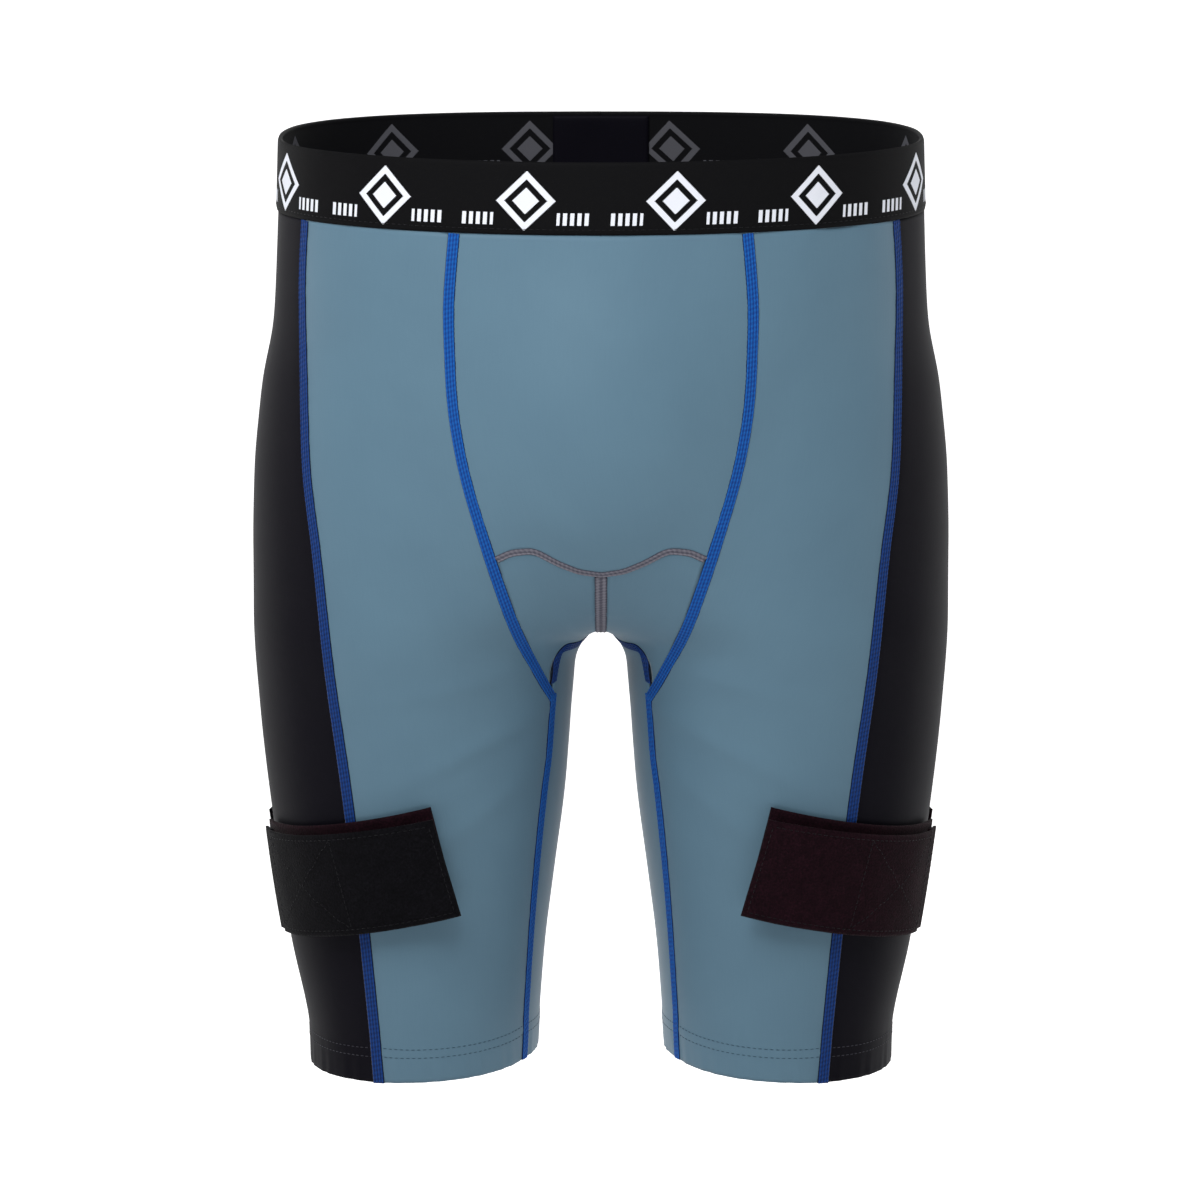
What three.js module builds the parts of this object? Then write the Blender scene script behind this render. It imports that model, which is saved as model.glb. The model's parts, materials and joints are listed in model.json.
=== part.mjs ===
// Ice hockey compression shorts with a cup pouch and hook-and-loop sock tabs.
// Millimetres, +Z up. The origin is the centre of the waist opening, at the top edge of the waistband.
// +X is the wearer's left, and the front of the shorts faces -Y.
import * as THREE from 'three';

// ---- Driving dimensions -------------------------------------------------------------------------

const rise = 262; // top edge of the waistband to the crotch
const innerLength = 506; // top edge of the waistband to the hem at the inner side
const hemSlope = 8; // how much lower the hem is at the outer side
const bandHeight = 39;

const waistHalfWidth = 171; // at the top edge of the band
const bandEdgeHalfWidth = 174; // at the lower edge of the band
const hipHalfWidth = 191; // at the widest place
const hemOuterHalfWidth = 161; // outer edge of the hem from the centre plane
const hemInnerHalfWidth = 36; // inner edge of the hem from the centre plane

const waistFrontDepth = 112;
const waistBackDepth = 119;
const seatDepth = 146;
const thighFrontDepth = 93;
const thighBackDepth = 101;
const hemFrontDepth = 75;
const hemBackDepth = 77;

const fabric = 1.1; // thickness of the knit
const hemFold = 1.1; // the layer that is turned up inside at the hem
const hemFoldHeight = 20;
const bandThickness = 2.2;
const bandProud = 0.9; // how far the elastic stands out from the fabric below it
const clearance = 0.3; // between pieces that touch
const cornerClearance = 4.2; // where a panel runs to a point under a seam
const seamWidth = 6;
const seamHeight = 0.8;
const seamLift = 1.1; // the seam's underside above the fabric, which is flat between its corners
const trimSeamWidth = 3.6; // the grey seams of the pocket

const pouchDepth = 127; // how far the pouch reaches in front of the origin
const pouchCentreAboveCrotch = 112;
const pouchHalfWidth = 86;

const tabWidth = 57;
const tabDrop = 395; // waist to the middle of a sock tab's flap
const tabRise = 22; // how much higher the free inner end is
const flapLag = 4; // the flap lies this much lower than its base
const sewnShare = 0.1; // share of the flap that is sewn down
const hingeShare = 0.012; // the fold between the sewn end and the flap
const tabOuterX = 175;
const tabInnerX = 86;
const tabThickness = 1.5;
const tabGap = 0.7; // between the layers of a tab
const hookThickness = 1.2;
const hookInset = 4; // hook pad back from the flap's edges
const flapStandOff = 6; // how far the free end stands off the thigh

const cupHalfWidth = 46;
const cupHalfHeight = 62;
const cupDepth = 36;
const cupWall = 3;
const cupAboveCrotch = 115; // crotch to the middle of the cup
const cupFrontGap = 6; // to the pouch in front of it
const cupPadThickness = 7;
const cupTaper = 0.22; // how much narrower its lower end is
const cupLean = 0.14; // the cup slides up and back by this slope
const mouthAboveCup = 1; // from the cup's top to the mouth of its pocket
const pocketAboveCrotch = 26; // crotch to the lower edge of the liner
const linerInset = 10; // liner's edge back from the middle of the pouch seam
const linerToPouch = 2; // the least distance between the liner and the pouch's panels
const linerGap = 10.8; // behind the cup's pad
const bindingHeight = 8;
const bindingThickness = 2.2;
const joinShare = 0.05; // share of the waist that the patch over the elastic's join covers
const joinInset = 2;

const colours = {
  slate: 0x5f7d90,
  black: 0x0b0a10,
  elastic: 0x08080a,
  royal: 0x1257b0,
  grey: 0x5f5f6e,
  tab: 0x0c0b0d,
  loop: 0x1a0f14,
  shell: 0xd9dcdf,
  pad: 0x2a2c30,
};

// ---- The form that the shorts are stretched over ------------------------------------------------

/** A smooth curve through points [z, value] that never overshoots them. Beyond its ends it is flat. */
function through(points) {
  const rows = [...points].sort((a, b) => a[0] - b[0]);
  const slopes = rows.slice(1).map((row, i) => (row[1] - rows[i][1]) / (row[0] - rows[i][0]));
  const tangents = rows.map((_, i) => {
    const before = slopes[i - 1] ?? slopes[i];
    const after = slopes[i] ?? slopes[i - 1];
    return before * after <= 0 ? 0 : (2 * before * after) / (before + after);
  });
  return (z) => {
    if (z <= rows[0][0]) return rows[0][1];
    if (z >= rows.at(-1)[0]) return rows.at(-1)[1];
    const i = rows.findIndex((row) => row[0] > z) - 1;
    const width = rows[i + 1][0] - rows[i][0];
    const t = (z - rows[i][0]) / width;
    const bend = t * t * (3 - 2 * t);
    return (
      rows[i][1] * (1 - bend) +
      rows[i + 1][1] * bend +
      width * (tangents[i] * t * (1 - t) ** 2 + tangents[i + 1] * t * t * (t - 1))
    );
  };
}

const outerLength = innerLength + hemSlope;
const crotchZ = -rise;
const cupDrop = rise - cupAboveCrotch;
const pouchCentreDrop = rise - pouchCentreAboveCrotch;
const pocketTopZ = -cupDrop + cupHalfHeight + mouthAboveCup;
const pocketBottomZ = crotchZ + pocketAboveCrotch;
const hemZ = -outerLength;
const legLength = outerLength - rise;
const seatZ = crotchZ + 78;
const hipZ = crotchZ + 40;

const outerHalfWidth = through([
  [0, waistHalfWidth],
  [-bandHeight, bandEdgeHalfWidth],
  [crotchZ + 173, bandEdgeHalfWidth + 3],
  [crotchZ + 128, hipHalfWidth - 6],
  [seatZ, hipHalfWidth - 1],
  [hipZ, hipHalfWidth],
  [crotchZ, hipHalfWidth],
  [crotchZ - 0.2 * legLength, hipHalfWidth - 3],
  [crotchZ - 0.55 * legLength, hemOuterHalfWidth + 17],
  [crotchZ - 0.74 * legLength, hemOuterHalfWidth + 10],
  [crotchZ - 0.92 * legLength, hemOuterHalfWidth + 1],
  [hemZ, hemOuterHalfWidth],
]);

// Half of the gap between the thighs. Negative above the crotch, where the two thighs run together.
const halfGap = through([
  [-bandHeight, -bandEdgeHalfWidth],
  [crotchZ + 172, -160],
  [crotchZ + 122, -122],
  [crotchZ + 62, -70],
  [crotchZ + 28, -30],
  [crotchZ + 8, -8],
  [crotchZ, 2],
  [crotchZ - 7, 9.5],
  [crotchZ - 28, 14],
  [crotchZ - 50, 16],
  [crotchZ - 0.38 * legLength, 19.5],
  [crotchZ - 0.55 * legLength, 25],
  [crotchZ - 0.74 * legLength, hemInnerHalfWidth - 5],
  [hemZ, hemInnerHalfWidth],
]);

const frontDepth = through([
  [0, waistFrontDepth],
  [-bandHeight, waistFrontDepth],
  [seatZ, waistFrontDepth],
  [crotchZ + 20, waistFrontDepth - 7],
  [crotchZ - 50, thighFrontDepth],
  [hemZ, hemFrontDepth],
]);

const backDepth = through([
  [0, waistBackDepth],
  [-bandHeight, waistBackDepth + 2],
  [crotchZ + 172, waistBackDepth + 12],
  [seatZ, seatDepth],
  [crotchZ + 50, seatDepth - 3],
  [crotchZ, thighBackDepth + 21],
  [crotchZ - 50, thighBackDepth],
  [hemZ, hemBackDepth],
]);

// How widely the fabric spans the hollow between the thighs.
const spanRadius = through([
  [-bandHeight, 8],
  [crotchZ + 172, 26],
  [seatZ, 46],
  [crotchZ + 30, 24],
  [crotchZ - 7, 11],
]);

const backSquareness = through([
  [0, 2.7],
  [seatZ, 2.2],
  [crotchZ, 2.05],
]);

/** How far a point is outside an oval, measured along the line from the oval's centre. */
function outsideOval(x, y, halfWidth, halfDepth, power) {
  const share = (Math.abs(x / halfWidth) ** power + Math.abs(y / halfDepth) ** power) ** (1 / power);
  const reach = Math.hypot(x, y);
  return share < 1e-6 ? -Math.min(halfWidth, halfDepth) : reach * (1 - 1 / share);
}

/** The smaller of two distances, with the valley between their surfaces filled to a round one. */
function smoothUnion(a, b, radius) {
  const overlap = Math.max(radius - Math.abs(a - b), 0) / radius;
  return Math.min(a, b) - (overlap * overlap * radius) / 4;
}

/** Distance outside the wearer's form. It is zero on the fabric's outer face. */
function outsideForm(x, y, z) {
  const gap = halfGap(z);
  const outer = outerHalfWidth(z);
  const thighCentre = (outer + gap) / 2;
  const depth = y < 0 ? frontDepth(z) : backDepth(z);
  const power = y < 0 ? 2 : backSquareness(z);
  const thigh = (side) => outsideOval(side * x - thighCentre, y, outer - thighCentre, depth, power);
  const hips = smoothUnion(thigh(1), thigh(-1), spanRadius(z));
  const q = new THREE.Vector3(
    x / pouchHalfWidth,
    (y + 36) / (pouchDepth - 36),
    (z + pouchCentreDrop) / (rise - pouchCentreDrop - 2),
  ).length();
  const pouch = Math.hypot(x, y + 36, z + pouchCentreDrop) * (1 - 1 / Math.max(q, 0.05));
  return smoothUnion(hips, pouch, 34);
}

/** The form's outward direction at a point. */
function outward(point) {
  const step = 0.5;
  const { x, y, z } = point;
  return new THREE.Vector3(
    outsideForm(x + step, y, z) - outsideForm(x - step, y, z),
    outsideForm(x, y + step, z) - outsideForm(x, y - step, z),
    outsideForm(x, y, z + step) - outsideForm(x, y, z - step),
  ).normalize();
}

/** The place on the form nearest to a point. The waist and hem ends keep their height. */
function onForm(point, keepHeight = false) {
  const found = point.clone();
  for (let i = 0; i < 12; i += 1) {
    const direction = outward(found);
    if (keepHeight) direction.setZ(0).normalize();
    found.addScaledVector(direction, -0.9 * outsideForm(found.x, found.y, found.z));
  }
  return found;
}

/** The place on the front (side -1) or back (side 1) of the form at a width and a height. */
function onFace(x, z, side) {
  let outside = side * 230;
  let inside = 0;
  for (let i = 0; i < 40; i += 1) {
    const middle = (outside + inside) / 2;
    if (outsideForm(x, middle, z) > 0) outside = middle;
    else inside = middle;
  }
  return new THREE.Vector3(x, outside, z);
}

// ---- Seam lines, for the wearer's left leg --------------------------------------------------------

const bandEdgeZ = -bandHeight;
const hemHeight = (x) => {
  const share = (Math.abs(x) - hemInnerHalfWidth) / (hemOuterHalfWidth - hemInnerHalfWidth);
  return -innerLength - share * (outerLength - innerLength);
};
const junction = { x: 26, z: crotchZ - 40 }; // where the pouch seam, the crotch seam and the inseam meet
const pocketSeamZ = crotchZ + 44;

/** A line down the front (side -1) or back (side 1) whose distance from the centre is a curve of height. */
function faceLine(width, side, top, bottom) {
  return (t) => {
    const z = THREE.MathUtils.lerp(top, bottom, t);
    return onFace(width(z), z, side);
  };
}

/** A line through a few points, laid onto the form. */
function laidLine(points) {
  const curve = new THREE.CatmullRomCurve3(points, false, 'centripetal');
  return (t) => onForm(curve.getPointAt(THREE.MathUtils.clamp(t, 0, 1)));
}

const pouchSeamWidth = through([
  [bandEdgeZ, 78],
  [crotchZ + 180, 81],
  [crotchZ + 138, 79.5],
  [crotchZ + 103, 74.5],
  [crotchZ + 80, 68.5],
  [crotchZ + 43, 57.5],
  [crotchZ, 43.5],
  [junction.z, junction.x],
]);
const inseamWidth = through([
  [junction.z, junction.x],
  [crotchZ - 0.27 * legLength, 28],
  [crotchZ - 0.41 * legLength, 32],
  [crotchZ - 0.65 * legLength, 37.5],
  [hemZ, hemInnerHalfWidth + 7],
]);
const sideSeamWidth = through([
  [bandEdgeZ, 159],
  [crotchZ + 185, 161],
  [crotchZ + 128, 160],
  [crotchZ + 96, 159],
  [crotchZ + 44, 153],
  [crotchZ - 22, 146],
  [crotchZ - 83, 138],
  [crotchZ - 162, 129],
  [hemZ, 121],
]);
const backSeamWidth = through([
  [bandEdgeZ, 150],
  [seatZ, 160],
  [crotchZ - 60, 147],
  [hemZ, 124],
]);

const pouchSeam = faceLine(pouchSeamWidth, -1, bandEdgeZ, junction.z);
const inseam = faceLine(inseamWidth, -1, junction.z, hemHeight(hemInnerHalfWidth + 7));
const sideSeam = faceLine(sideSeamWidth, -1, bandEdgeZ, hemHeight(121));
const backSeam = faceLine(backSeamWidth, 1, bandEdgeZ, hemHeight(124));
// The pocket seam waves: its height above its own level at each share of the pouch's half width.
const pocketWave = through([
  [0, -4],
  [0.18, -2.5],
  [0.4, 3],
  [0.62, 9.5],
  [0.8, 8],
  [1, 2],
]);

/** A line down the pouch at a share of its half width, from the waistband to the pocket seam. */
function pouchLine(share) {
  const bottom = pocketSeamZ + pocketWave(Math.abs(share));
  return faceLine((z) => share * pouchSeamWidth(z), -1, bandEdgeZ, bottom);
}
const pocketSeam = (t) => pouchLine(t * 2 - 1)(1);
const pocketSeamLeft = (t) => pouchLine(t)(1);
const crotchPoint = onForm(new THREE.Vector3(0, 2, crotchZ - 4));
const centreSeam = laidLine([
  pouchLine(0)(1),
  onFace(0, crotchZ + 22, -1),
  new THREE.Vector3(0, -38, crotchZ),
  crotchPoint,
]);
const seatSeam = laidLine([
  onFace(0, bandEdgeZ, 1),
  onFace(0, crotchZ + 150, 1),
  onFace(0, seatZ, 1),
  onFace(0, crotchZ + 45, 1),
  onFace(0, crotchZ + 18, 1),
  new THREE.Vector3(0, 40, crotchZ),
  crotchPoint,
]);
const crotchSeam = laidLine([
  crotchPoint,
  new THREE.Vector3(7, -10, crotchZ - 6),
  new THREE.Vector3(13, -28, crotchZ - 10),
  onFace(21, crotchZ - 12, -1),
  onFace(25, crotchZ - 22, -1),
  onFace(junction.x, junction.z, -1),
]);

/** Joins lines end to end. Each takes the share of the whole that runs up to its mark. */
function chained(lines, marks) {
  return (t) => {
    const i = Math.min(marks.filter((mark) => mark <= t).length, lines.length - 1);
    const start = i ? marks[i - 1] : 0;
    return lines[i]((t - start) / (marks[i] - start));
  };
}
const shareOfHeight = (z) => (z - bandEdgeZ) / (hemHeight(hemInnerHalfWidth) - bandEdgeZ);
const crotchMark = shareOfHeight(crotchZ);
const junctionMark = shareOfHeight(junction.z);

const frontInnerEdge = chained([pouchSeam, inseam], [junctionMark, 1]);
const backInnerEdge = chained([seatSeam, crotchSeam, inseam], [crotchMark, junctionMark, 1]);

// Guide lines keep a panel on its own side of the leg where it wraps round it.
const sideGuide = (t) => {
  const z = THREE.MathUtils.lerp(bandEdgeZ, hemHeight(hemOuterHalfWidth), t);
  return onForm(new THREE.Vector3(outerHalfWidth(z), 0, z), true);
};
const backOfThigh = faceLine(
  through([
    [bandEdgeZ, 84],
    [seatZ, 98],
    [hemZ, 96],
  ]),
  1,
  bandEdgeZ,
  hemHeight(96),
);
const insideOfSeat = faceLine(
  through([
    [bandEdgeZ, 40],
    [seatZ, 46],
    [crotchZ + 20, 38],
    [crotchZ - 40, 30],
    [hemZ, hemInnerHalfWidth + 11],
  ]),
  1,
  bandEdgeZ,
  hemHeight(hemInnerHalfWidth + 11),
);
const insideOfThigh = (() => {
  const below = (t) => {
    const z = THREE.MathUtils.lerp(junction.z, hemHeight(hemInnerHalfWidth), t);
    return onForm(new THREE.Vector3(halfGap(z), 4, z), true);
  };
  const above = (t) => {
    const share = t * junctionMark;
    const halfway = insideOfSeat(share).lerp(backInnerEdge(share), 0.5);
    return onForm(halfway.lerp(below(0), t ** 6));
  };
  return chained([above, below], [junctionMark, 1]);
})();

// ---- Building solids ------------------------------------------------------------------------------

const farFace = 5; // the place of the -Z side among the six groups of a BoxGeometry

/** Turns the faces of a closed geometry outward. */
function facingOut(geometry) {
  const position = geometry.getAttribute('position');
  const { array: index } = geometry.index;
  const corner = (i) => new THREE.Vector3().fromBufferAttribute(position, index[i]);
  let volume = 0;
  for (let i = 0; i < index.length; i += 3) {
    volume += corner(i).dot(corner(i + 1).cross(corner(i + 2)));
  }
  for (let i = 0; volume < 0 && i < index.length; i += 3) {
    [index[i], index[i + 1]] = [index[i + 1], index[i]];
  }
  geometry.computeVertexNormals();
  return geometry;
}

/** Splits the cells of a block's far face along the same diagonals as those of its near face. */
function matchDiagonals(geometry) {
  const { array: index } = geometry.index;
  const { start, count } = geometry.groups[farFace];
  for (let i = start; i < start + count; i += 6) {
    const [a, b, d, , c] = index.slice(i, i + 6);
    index.set([a, b, c, a, c, d], i);
  }
}

/** Bends a flat block to place(u, v, w): u and v run along its face from 0 to 1, w through it. */
function bentBlock(across, along, place) {
  const geometry = new THREE.BoxGeometry(1, 1, 1, across, along, 1);
  const position = geometry.getAttribute('position');
  const corner = new THREE.Vector3();
  for (let i = 0; i < position.count; i += 1) {
    corner.fromBufferAttribute(position, i).addScalar(0.5);
    position.setXYZ(i, ...place(corner.x, corner.y, corner.z).toArray());
  }
  matchDiagonals(geometry);
  return facingOut(geometry);
}

/** Moves a point along the form's outward direction. */
function lifted(point, height) {
  return point.clone().addScaledVector(outward(point), height);
}

/** The number of steps of a leg panel, from the waistband to the hem. Its seams have the same steps. */
const legSteps = { toCrotch: 11, toJunction: 4, toHem: 10 };
const legStepCount = legSteps.toCrotch + legSteps.toJunction + legSteps.toHem;

/** The share of the way down the leg at which a step lies. */
const legShare = through([
  [0, 0],
  [legSteps.toCrotch, crotchMark],
  [legSteps.toCrotch + legSteps.toJunction, junctionMark],
  [legStepCount, 1],
]);
const downTheLeg = (v) => legShare(Math.round(v * legStepCount));

/** The panel between seam lines: each row runs through every line at its own share of the height. */
function panel(lines, across, along, options = {}) {
  const { trimTop = clearance, trimBottom = 0, trimSide = clearance / 2, hem = false, steps } = options;
  const middle = (t) => lines[Math.floor(lines.length / 2)](t);
  const length = hem
    ? innerLength - bandHeight
    : new THREE.CatmullRomCurve3([0, 0.25, 0.5, 0.75, 1].map(middle)).getLength();
  const rows = new Map();
  const rowAt = (v) => {
    if (!rows.has(v)) {
      const down = steps ? steps(v) : v;
      const t = THREE.MathUtils.lerp(trimTop / length, 1 - trimBottom / length, down);
      const row = new THREE.CatmullRomCurve3(lines.map((line) => line(t)), false, 'centripetal');
      rows.set(v, { row, t, trim: trimSide / row.getLength() });
    }
    return rows.get(v);
  };
  return bentBlock(across, along, (u, v, w) => {
    const { row, t, trim } = rowAt(v);
    const share = THREE.MathUtils.lerp(trim, 1 - trim, u);
    const place = onForm(row.getPointAt(share), t < 0.02 || t > 0.98);
    const folded = hem && (1 - t) * length < hemFoldHeight;
    return lifted(place, (w - 1) * (fabric + (folded ? hemFold : 0)));
  });
}

/** A line down a four-sided patch at a share of the way from its left line to its right line. */
function spanned(top, bottom, left, right, share) {
  const corner = (line, t, weight) => line(t).multiplyScalar(weight);
  return (t) => {
    const place = corner(top, share, 1 - t)
      .add(corner(bottom, share, t))
      .add(corner(left, t, 1 - share))
      .add(corner(right, t, share))
      .sub(corner(top, 0, (1 - share) * (1 - t)))
      .sub(corner(top, 1, share * (1 - t)))
      .sub(corner(bottom, 0, (1 - share) * t))
      .sub(corner(bottom, 1, share * t));
    return onForm(place);
  };
}

/** A flatlock seam: a flat band of stitches that lies along a line on the fabric. */
function seam(line, along, options = {}) {
  const { width = seamWidth, from = 0, to = 1, steps = (v) => v } = options;
  return bentBlock(1, along, (u, v, w) => {
    const t = THREE.MathUtils.clamp(steps(v), from, to);
    const here = line(t);
    const ahead = line(Math.min(t + 0.004, 1)).sub(line(Math.max(t - 0.004, 0)));
    const aside = ahead.cross(outward(here)).normalize();
    const place = onForm(here.clone().addScaledVector(aside, (u - 0.5) * width), t < 0.01 || t > 0.99);
    return lifted(place, seamLift + w * seamHeight);
  });
}

const model = new THREE.Group();

function add(name, geometry, colour, roughness = 0.85) {
  const material = new THREE.MeshStandardMaterial({ color: colour, roughness, metalness: 0 });
  const mesh = new THREE.Mesh(geometry, material);
  mesh.name = name;
  model.add(mesh);
  return mesh;
}

/** The same line on the wearer's right leg. */
const mirrored = (line) => (t) => line(t).multiply(new THREE.Vector3(-1, 1, 1));

/** Adds a piece for each leg. build is given a function that puts a line on that leg. */
function addPair(name, build, colour, roughness) {
  add(`${name}_left`, build((line) => line), colour, roughness);
  add(`${name}_right`, build(mirrored), colour, roughness);
}

// ---- Fabric panels ----------------------------------------------------------------------------------

const pouchShares = [-1, -0.8, -0.6, -0.4, -0.2, 0, 0.2, 0.4, 0.6, 0.8, 1];
add(
  'pouch_upper_panel',
  panel(pouchShares.map(pouchLine), 10, 9, { trimBottom: 3 * clearance }),
  colours.slate,
);

const lowerPouchSeam = (t) => {
  const z = THREE.MathUtils.lerp(pocketSeamZ + pocketWave(1), junction.z, t);
  return onFace(pouchSeamWidth(z), z, -1);
};
const lobeLines = [0, 0.25, 0.5, 0.75, 1].map((share) =>
  spanned(pocketSeamLeft, crotchSeam, centreSeam, lowerPouchSeam, share),
);
addPair(
  'pouch_lower_panel',
  (leg) => panel(lobeLines.map(leg), 8, 8, { trimBottom: cornerClearance, trimSide: 0.8 * cornerClearance }),
  colours.slate,
);

const legPanel = { hem: true, steps: downTheLeg, trimSide: clearance / 2 + 0.15 };
addPair(
  'front_thigh_panel',
  (leg) => panel([sideSeam, frontInnerEdge].map(leg), 6, legStepCount, legPanel),
  colours.slate,
);
addPair(
  'side_panel',
  (leg) => panel([sideSeam, sideGuide, backSeam].map(leg), 6, legStepCount, legPanel),
  colours.black,
);
addPair(
  'back_panel',
  (leg) => {
    const lines = [backSeam, backOfThigh, insideOfSeat, insideOfThigh, backInnerEdge];
    return panel(lines.map(leg), 10, legStepCount, legPanel);
  },
  colours.slate,
);

// ---- Waistband --------------------------------------------------------------------------------------

/** The form's edge at a height, from the centre back round by the wearer's left. */
function roundWaist(share, z) {
  const angle = Math.PI / 2 - share * 2 * Math.PI;
  const reach = new THREE.Vector3(Math.cos(angle) * waistHalfWidth, Math.sin(angle) * waistFrontDepth, z);
  return onForm(reach, true);
}

const joinGap = clearance / (4 * waistHalfWidth);
add(
  'waistband',
  bentBlock(48, 2, (u, v, w) => {
    const place = roundWaist(THREE.MathUtils.lerp(joinGap, 1 - joinGap, u), -v * bandHeight);
    return lifted(place, bandProud - (1 - w) * bandThickness);
  }),
  colours.elastic,
);
add(
  'waistband_join',
  bentBlock(4, 1, (u, v, w) => {
    const place = roundWaist((u - 0.5) * joinShare, -joinInset - v * (bandHeight - 2 * joinInset));
    return lifted(place, bandProud - bandThickness - clearance - (1 - w) * fabric);
  }),
  colours.elastic,
);

// ---- Seams ------------------------------------------------------------------------------------------

const seamEnd = 0.002; // share of a seam left off where it meets another piece
const stepsTo = (mark, count) => (v) => legShare(Math.round(v * count)) / mark;
const stepsFrom = (mark, first) => (v) =>
  (legShare(Math.round(first + v * (legStepCount - first))) - mark) / (1 - mark);
const junctionStep = legSteps.toCrotch + legSteps.toJunction;

addPair(
  'pouch_seam',
  (leg) => {
    const steps = stepsTo(junctionMark, junctionStep);
    return seam(leg(pouchSeam), junctionStep, { from: seamEnd, to: 1 - seamEnd, steps });
  },
  colours.royal,
);
addPair(
  'inseam',
  (leg) => {
    const steps = stepsFrom(junctionMark, junctionStep);
    return seam(leg(inseam), legSteps.toHem, { from: 5 * seamEnd, steps });
  },
  colours.royal,
);
for (const [name, line] of [
  ['side_seam_front', sideSeam],
  ['side_seam_back', backSeam],
]) {
  const sizes = { from: seamEnd / 2, steps: downTheLeg };
  addPair(name, (leg) => seam(leg(line), legStepCount, sizes), colours.royal);
}
const crotchSeamEnds = { from: 0.14, to: 0.78 }; // shares of its line, clear of the other leg and the pouch seam
crotchSeamEnds.steps = (v) => THREE.MathUtils.lerp(crotchSeamEnds.from, crotchSeamEnds.to, v);
addPair(
  'crotch_seam',
  (leg) => seam(leg(crotchSeam), 10, crotchSeamEnds),
  colours.royal,
);
add('seat_seam', seam(seatSeam, 16, { from: seamEnd, to: 0.985 }), colours.royal);
add('pocket_seam', seam(pocketSeam, 20, { width: trimSeamWidth, from: 0.045, to: 0.955 }), colours.grey);
add('pouch_centre_seam', seam(centreSeam, 8, { from: 0.06, to: 0.9 }), colours.grey);

// ---- Cup, and the pocket that holds it -----------------------------------------------------------------

const cupFrontY = onFace(0, -cupDrop, -1).y + fabric + cupFrontGap;
const cupRimY = cupFrontY + cupDepth;

/** Turns a round bowl or ring, made round the Y axis, into the cup's tapered oval, in its place. */
function cupShaped(profile) {
  const geometry = new THREE.LatheGeometry(profile, 20);
  const position = geometry.getAttribute('position');
  for (let i = 0; i < position.count; i += 1) {
    const height = (position.getZ(i) / cupHalfWidth) * cupHalfHeight;
    const taper = 1 - cupTaper * THREE.MathUtils.smoothstep(-height, 0, cupHalfHeight);
    position.setXYZ(i, position.getX(i) * taper, -position.getY(i), height);
  }
  geometry.rotateX(-Math.atan(cupLean));
  geometry.translate(0, cupRimY, -cupDrop);
  return facingOut(geometry);
}

const arc = [0, 1, 2, 3, 4, 5, 6].map((i) => (i * Math.PI) / 12);
const bowl = (radius, depth) => arc.map((a) => new THREE.Vector2(radius * Math.sin(a), depth * Math.cos(a)));
add(
  'cup_shell',
  cupShaped([...bowl(cupHalfWidth, cupDepth), ...bowl(cupHalfWidth - cupWall, cupDepth - cupWall).reverse()]),
  colours.shell,
  0.35,
);
const padOuter = cupHalfWidth + 1;
const padInner = cupHalfWidth - 9;
const padBack = -clearance - cupPadThickness;
add(
  'cup_edge_pad',
  cupShaped(
    [
      [padInner, -clearance],
      [padOuter, -clearance],
      [padOuter, padBack],
      [padInner, padBack],
      [padInner, -clearance],
    ].map(([radius, height]) => new THREE.Vector2(radius, height)),
  ),
  colours.pad,
);

/** The inner layer of the pouch at a share of its width: flat behind the cup, curving to the seams. */
function linerPlace(share, z) {
  const width = pouchSeamWidth(z) - linerInset;
  const flatWidth = Math.min(cupHalfWidth + linerToPouch, 0.85 * width);
  const x = share * width;
  const edge = onFace(width, z, -1).y + fabric + linerToPouch;
  const behindCup = cupRimY + cupLean * (z + cupDrop) + cupPadThickness + linerGap;
  const bend = Math.max(Math.abs(x) - flatWidth, 0) / (width - flatWidth);
  const y = THREE.MathUtils.lerp(behindCup, edge, bend ** 2);
  return new THREE.Vector3(x, Math.max(y, onFace(x, z, -1).y + fabric + linerToPouch), z);
}

/** Part of the liner between two heights. */
function linerStrip(across, along, top, bottom, thickness) {
  return bentBlock(across, along, (u, v, w) => {
    const place = linerPlace(2 * u - 1, THREE.MathUtils.lerp(top, bottom, v));
    return place.add(new THREE.Vector3(0, (w - 0.5) * thickness, 0));
  });
}
add('cup_pocket_liner', linerStrip(10, 6, pocketTopZ, pocketBottomZ, fabric), colours.slate);
add(
  'pocket_mouth_binding',
  linerStrip(10, 1, pocketTopZ + clearance + bindingHeight, pocketTopZ + clearance, bindingThickness),
  colours.black,
);

// ---- Sock tabs ----------------------------------------------------------------------------------------

/** The middle line of a tab, from its sewn outer end to its free inner end. */
function tabLine(side, drop) {
  const points = [0, 0.15, 0.3, 0.45, 0.6, 0.75, 0.9, 1].map((share) => {
    const x = THREE.MathUtils.lerp(tabOuterX, tabInnerX, share);
    return onFace(x, -drop + tabRise * (share - 0.5), side);
  });
  const curve = new THREE.CatmullRomCurve3(points, false, 'centripetal');
  return (t) => onForm(curve.getPointAt(THREE.MathUtils.clamp(t, 0, 1)));
}

/** A flat strap along a line, its two faces at heights above the fabric that can change along it. */
function strap(line, stations, { width, low, high }) {
  return bentBlock(4, stations.length - 1, (u, v, w) => {
    const t = stations[Math.round(v * (stations.length - 1))];
    const here = line(t);
    const ahead = line(Math.min(t + 0.02, 1)).sub(line(Math.max(t - 0.02, 0)));
    const aside = ahead.cross(outward(here)).normalize();
    const place = onForm(here.clone().addScaledVector(aside, (u - 0.5) * width));
    return lifted(place, THREE.MathUtils.lerp(low(t), high(t), w));
  });
}

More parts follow.
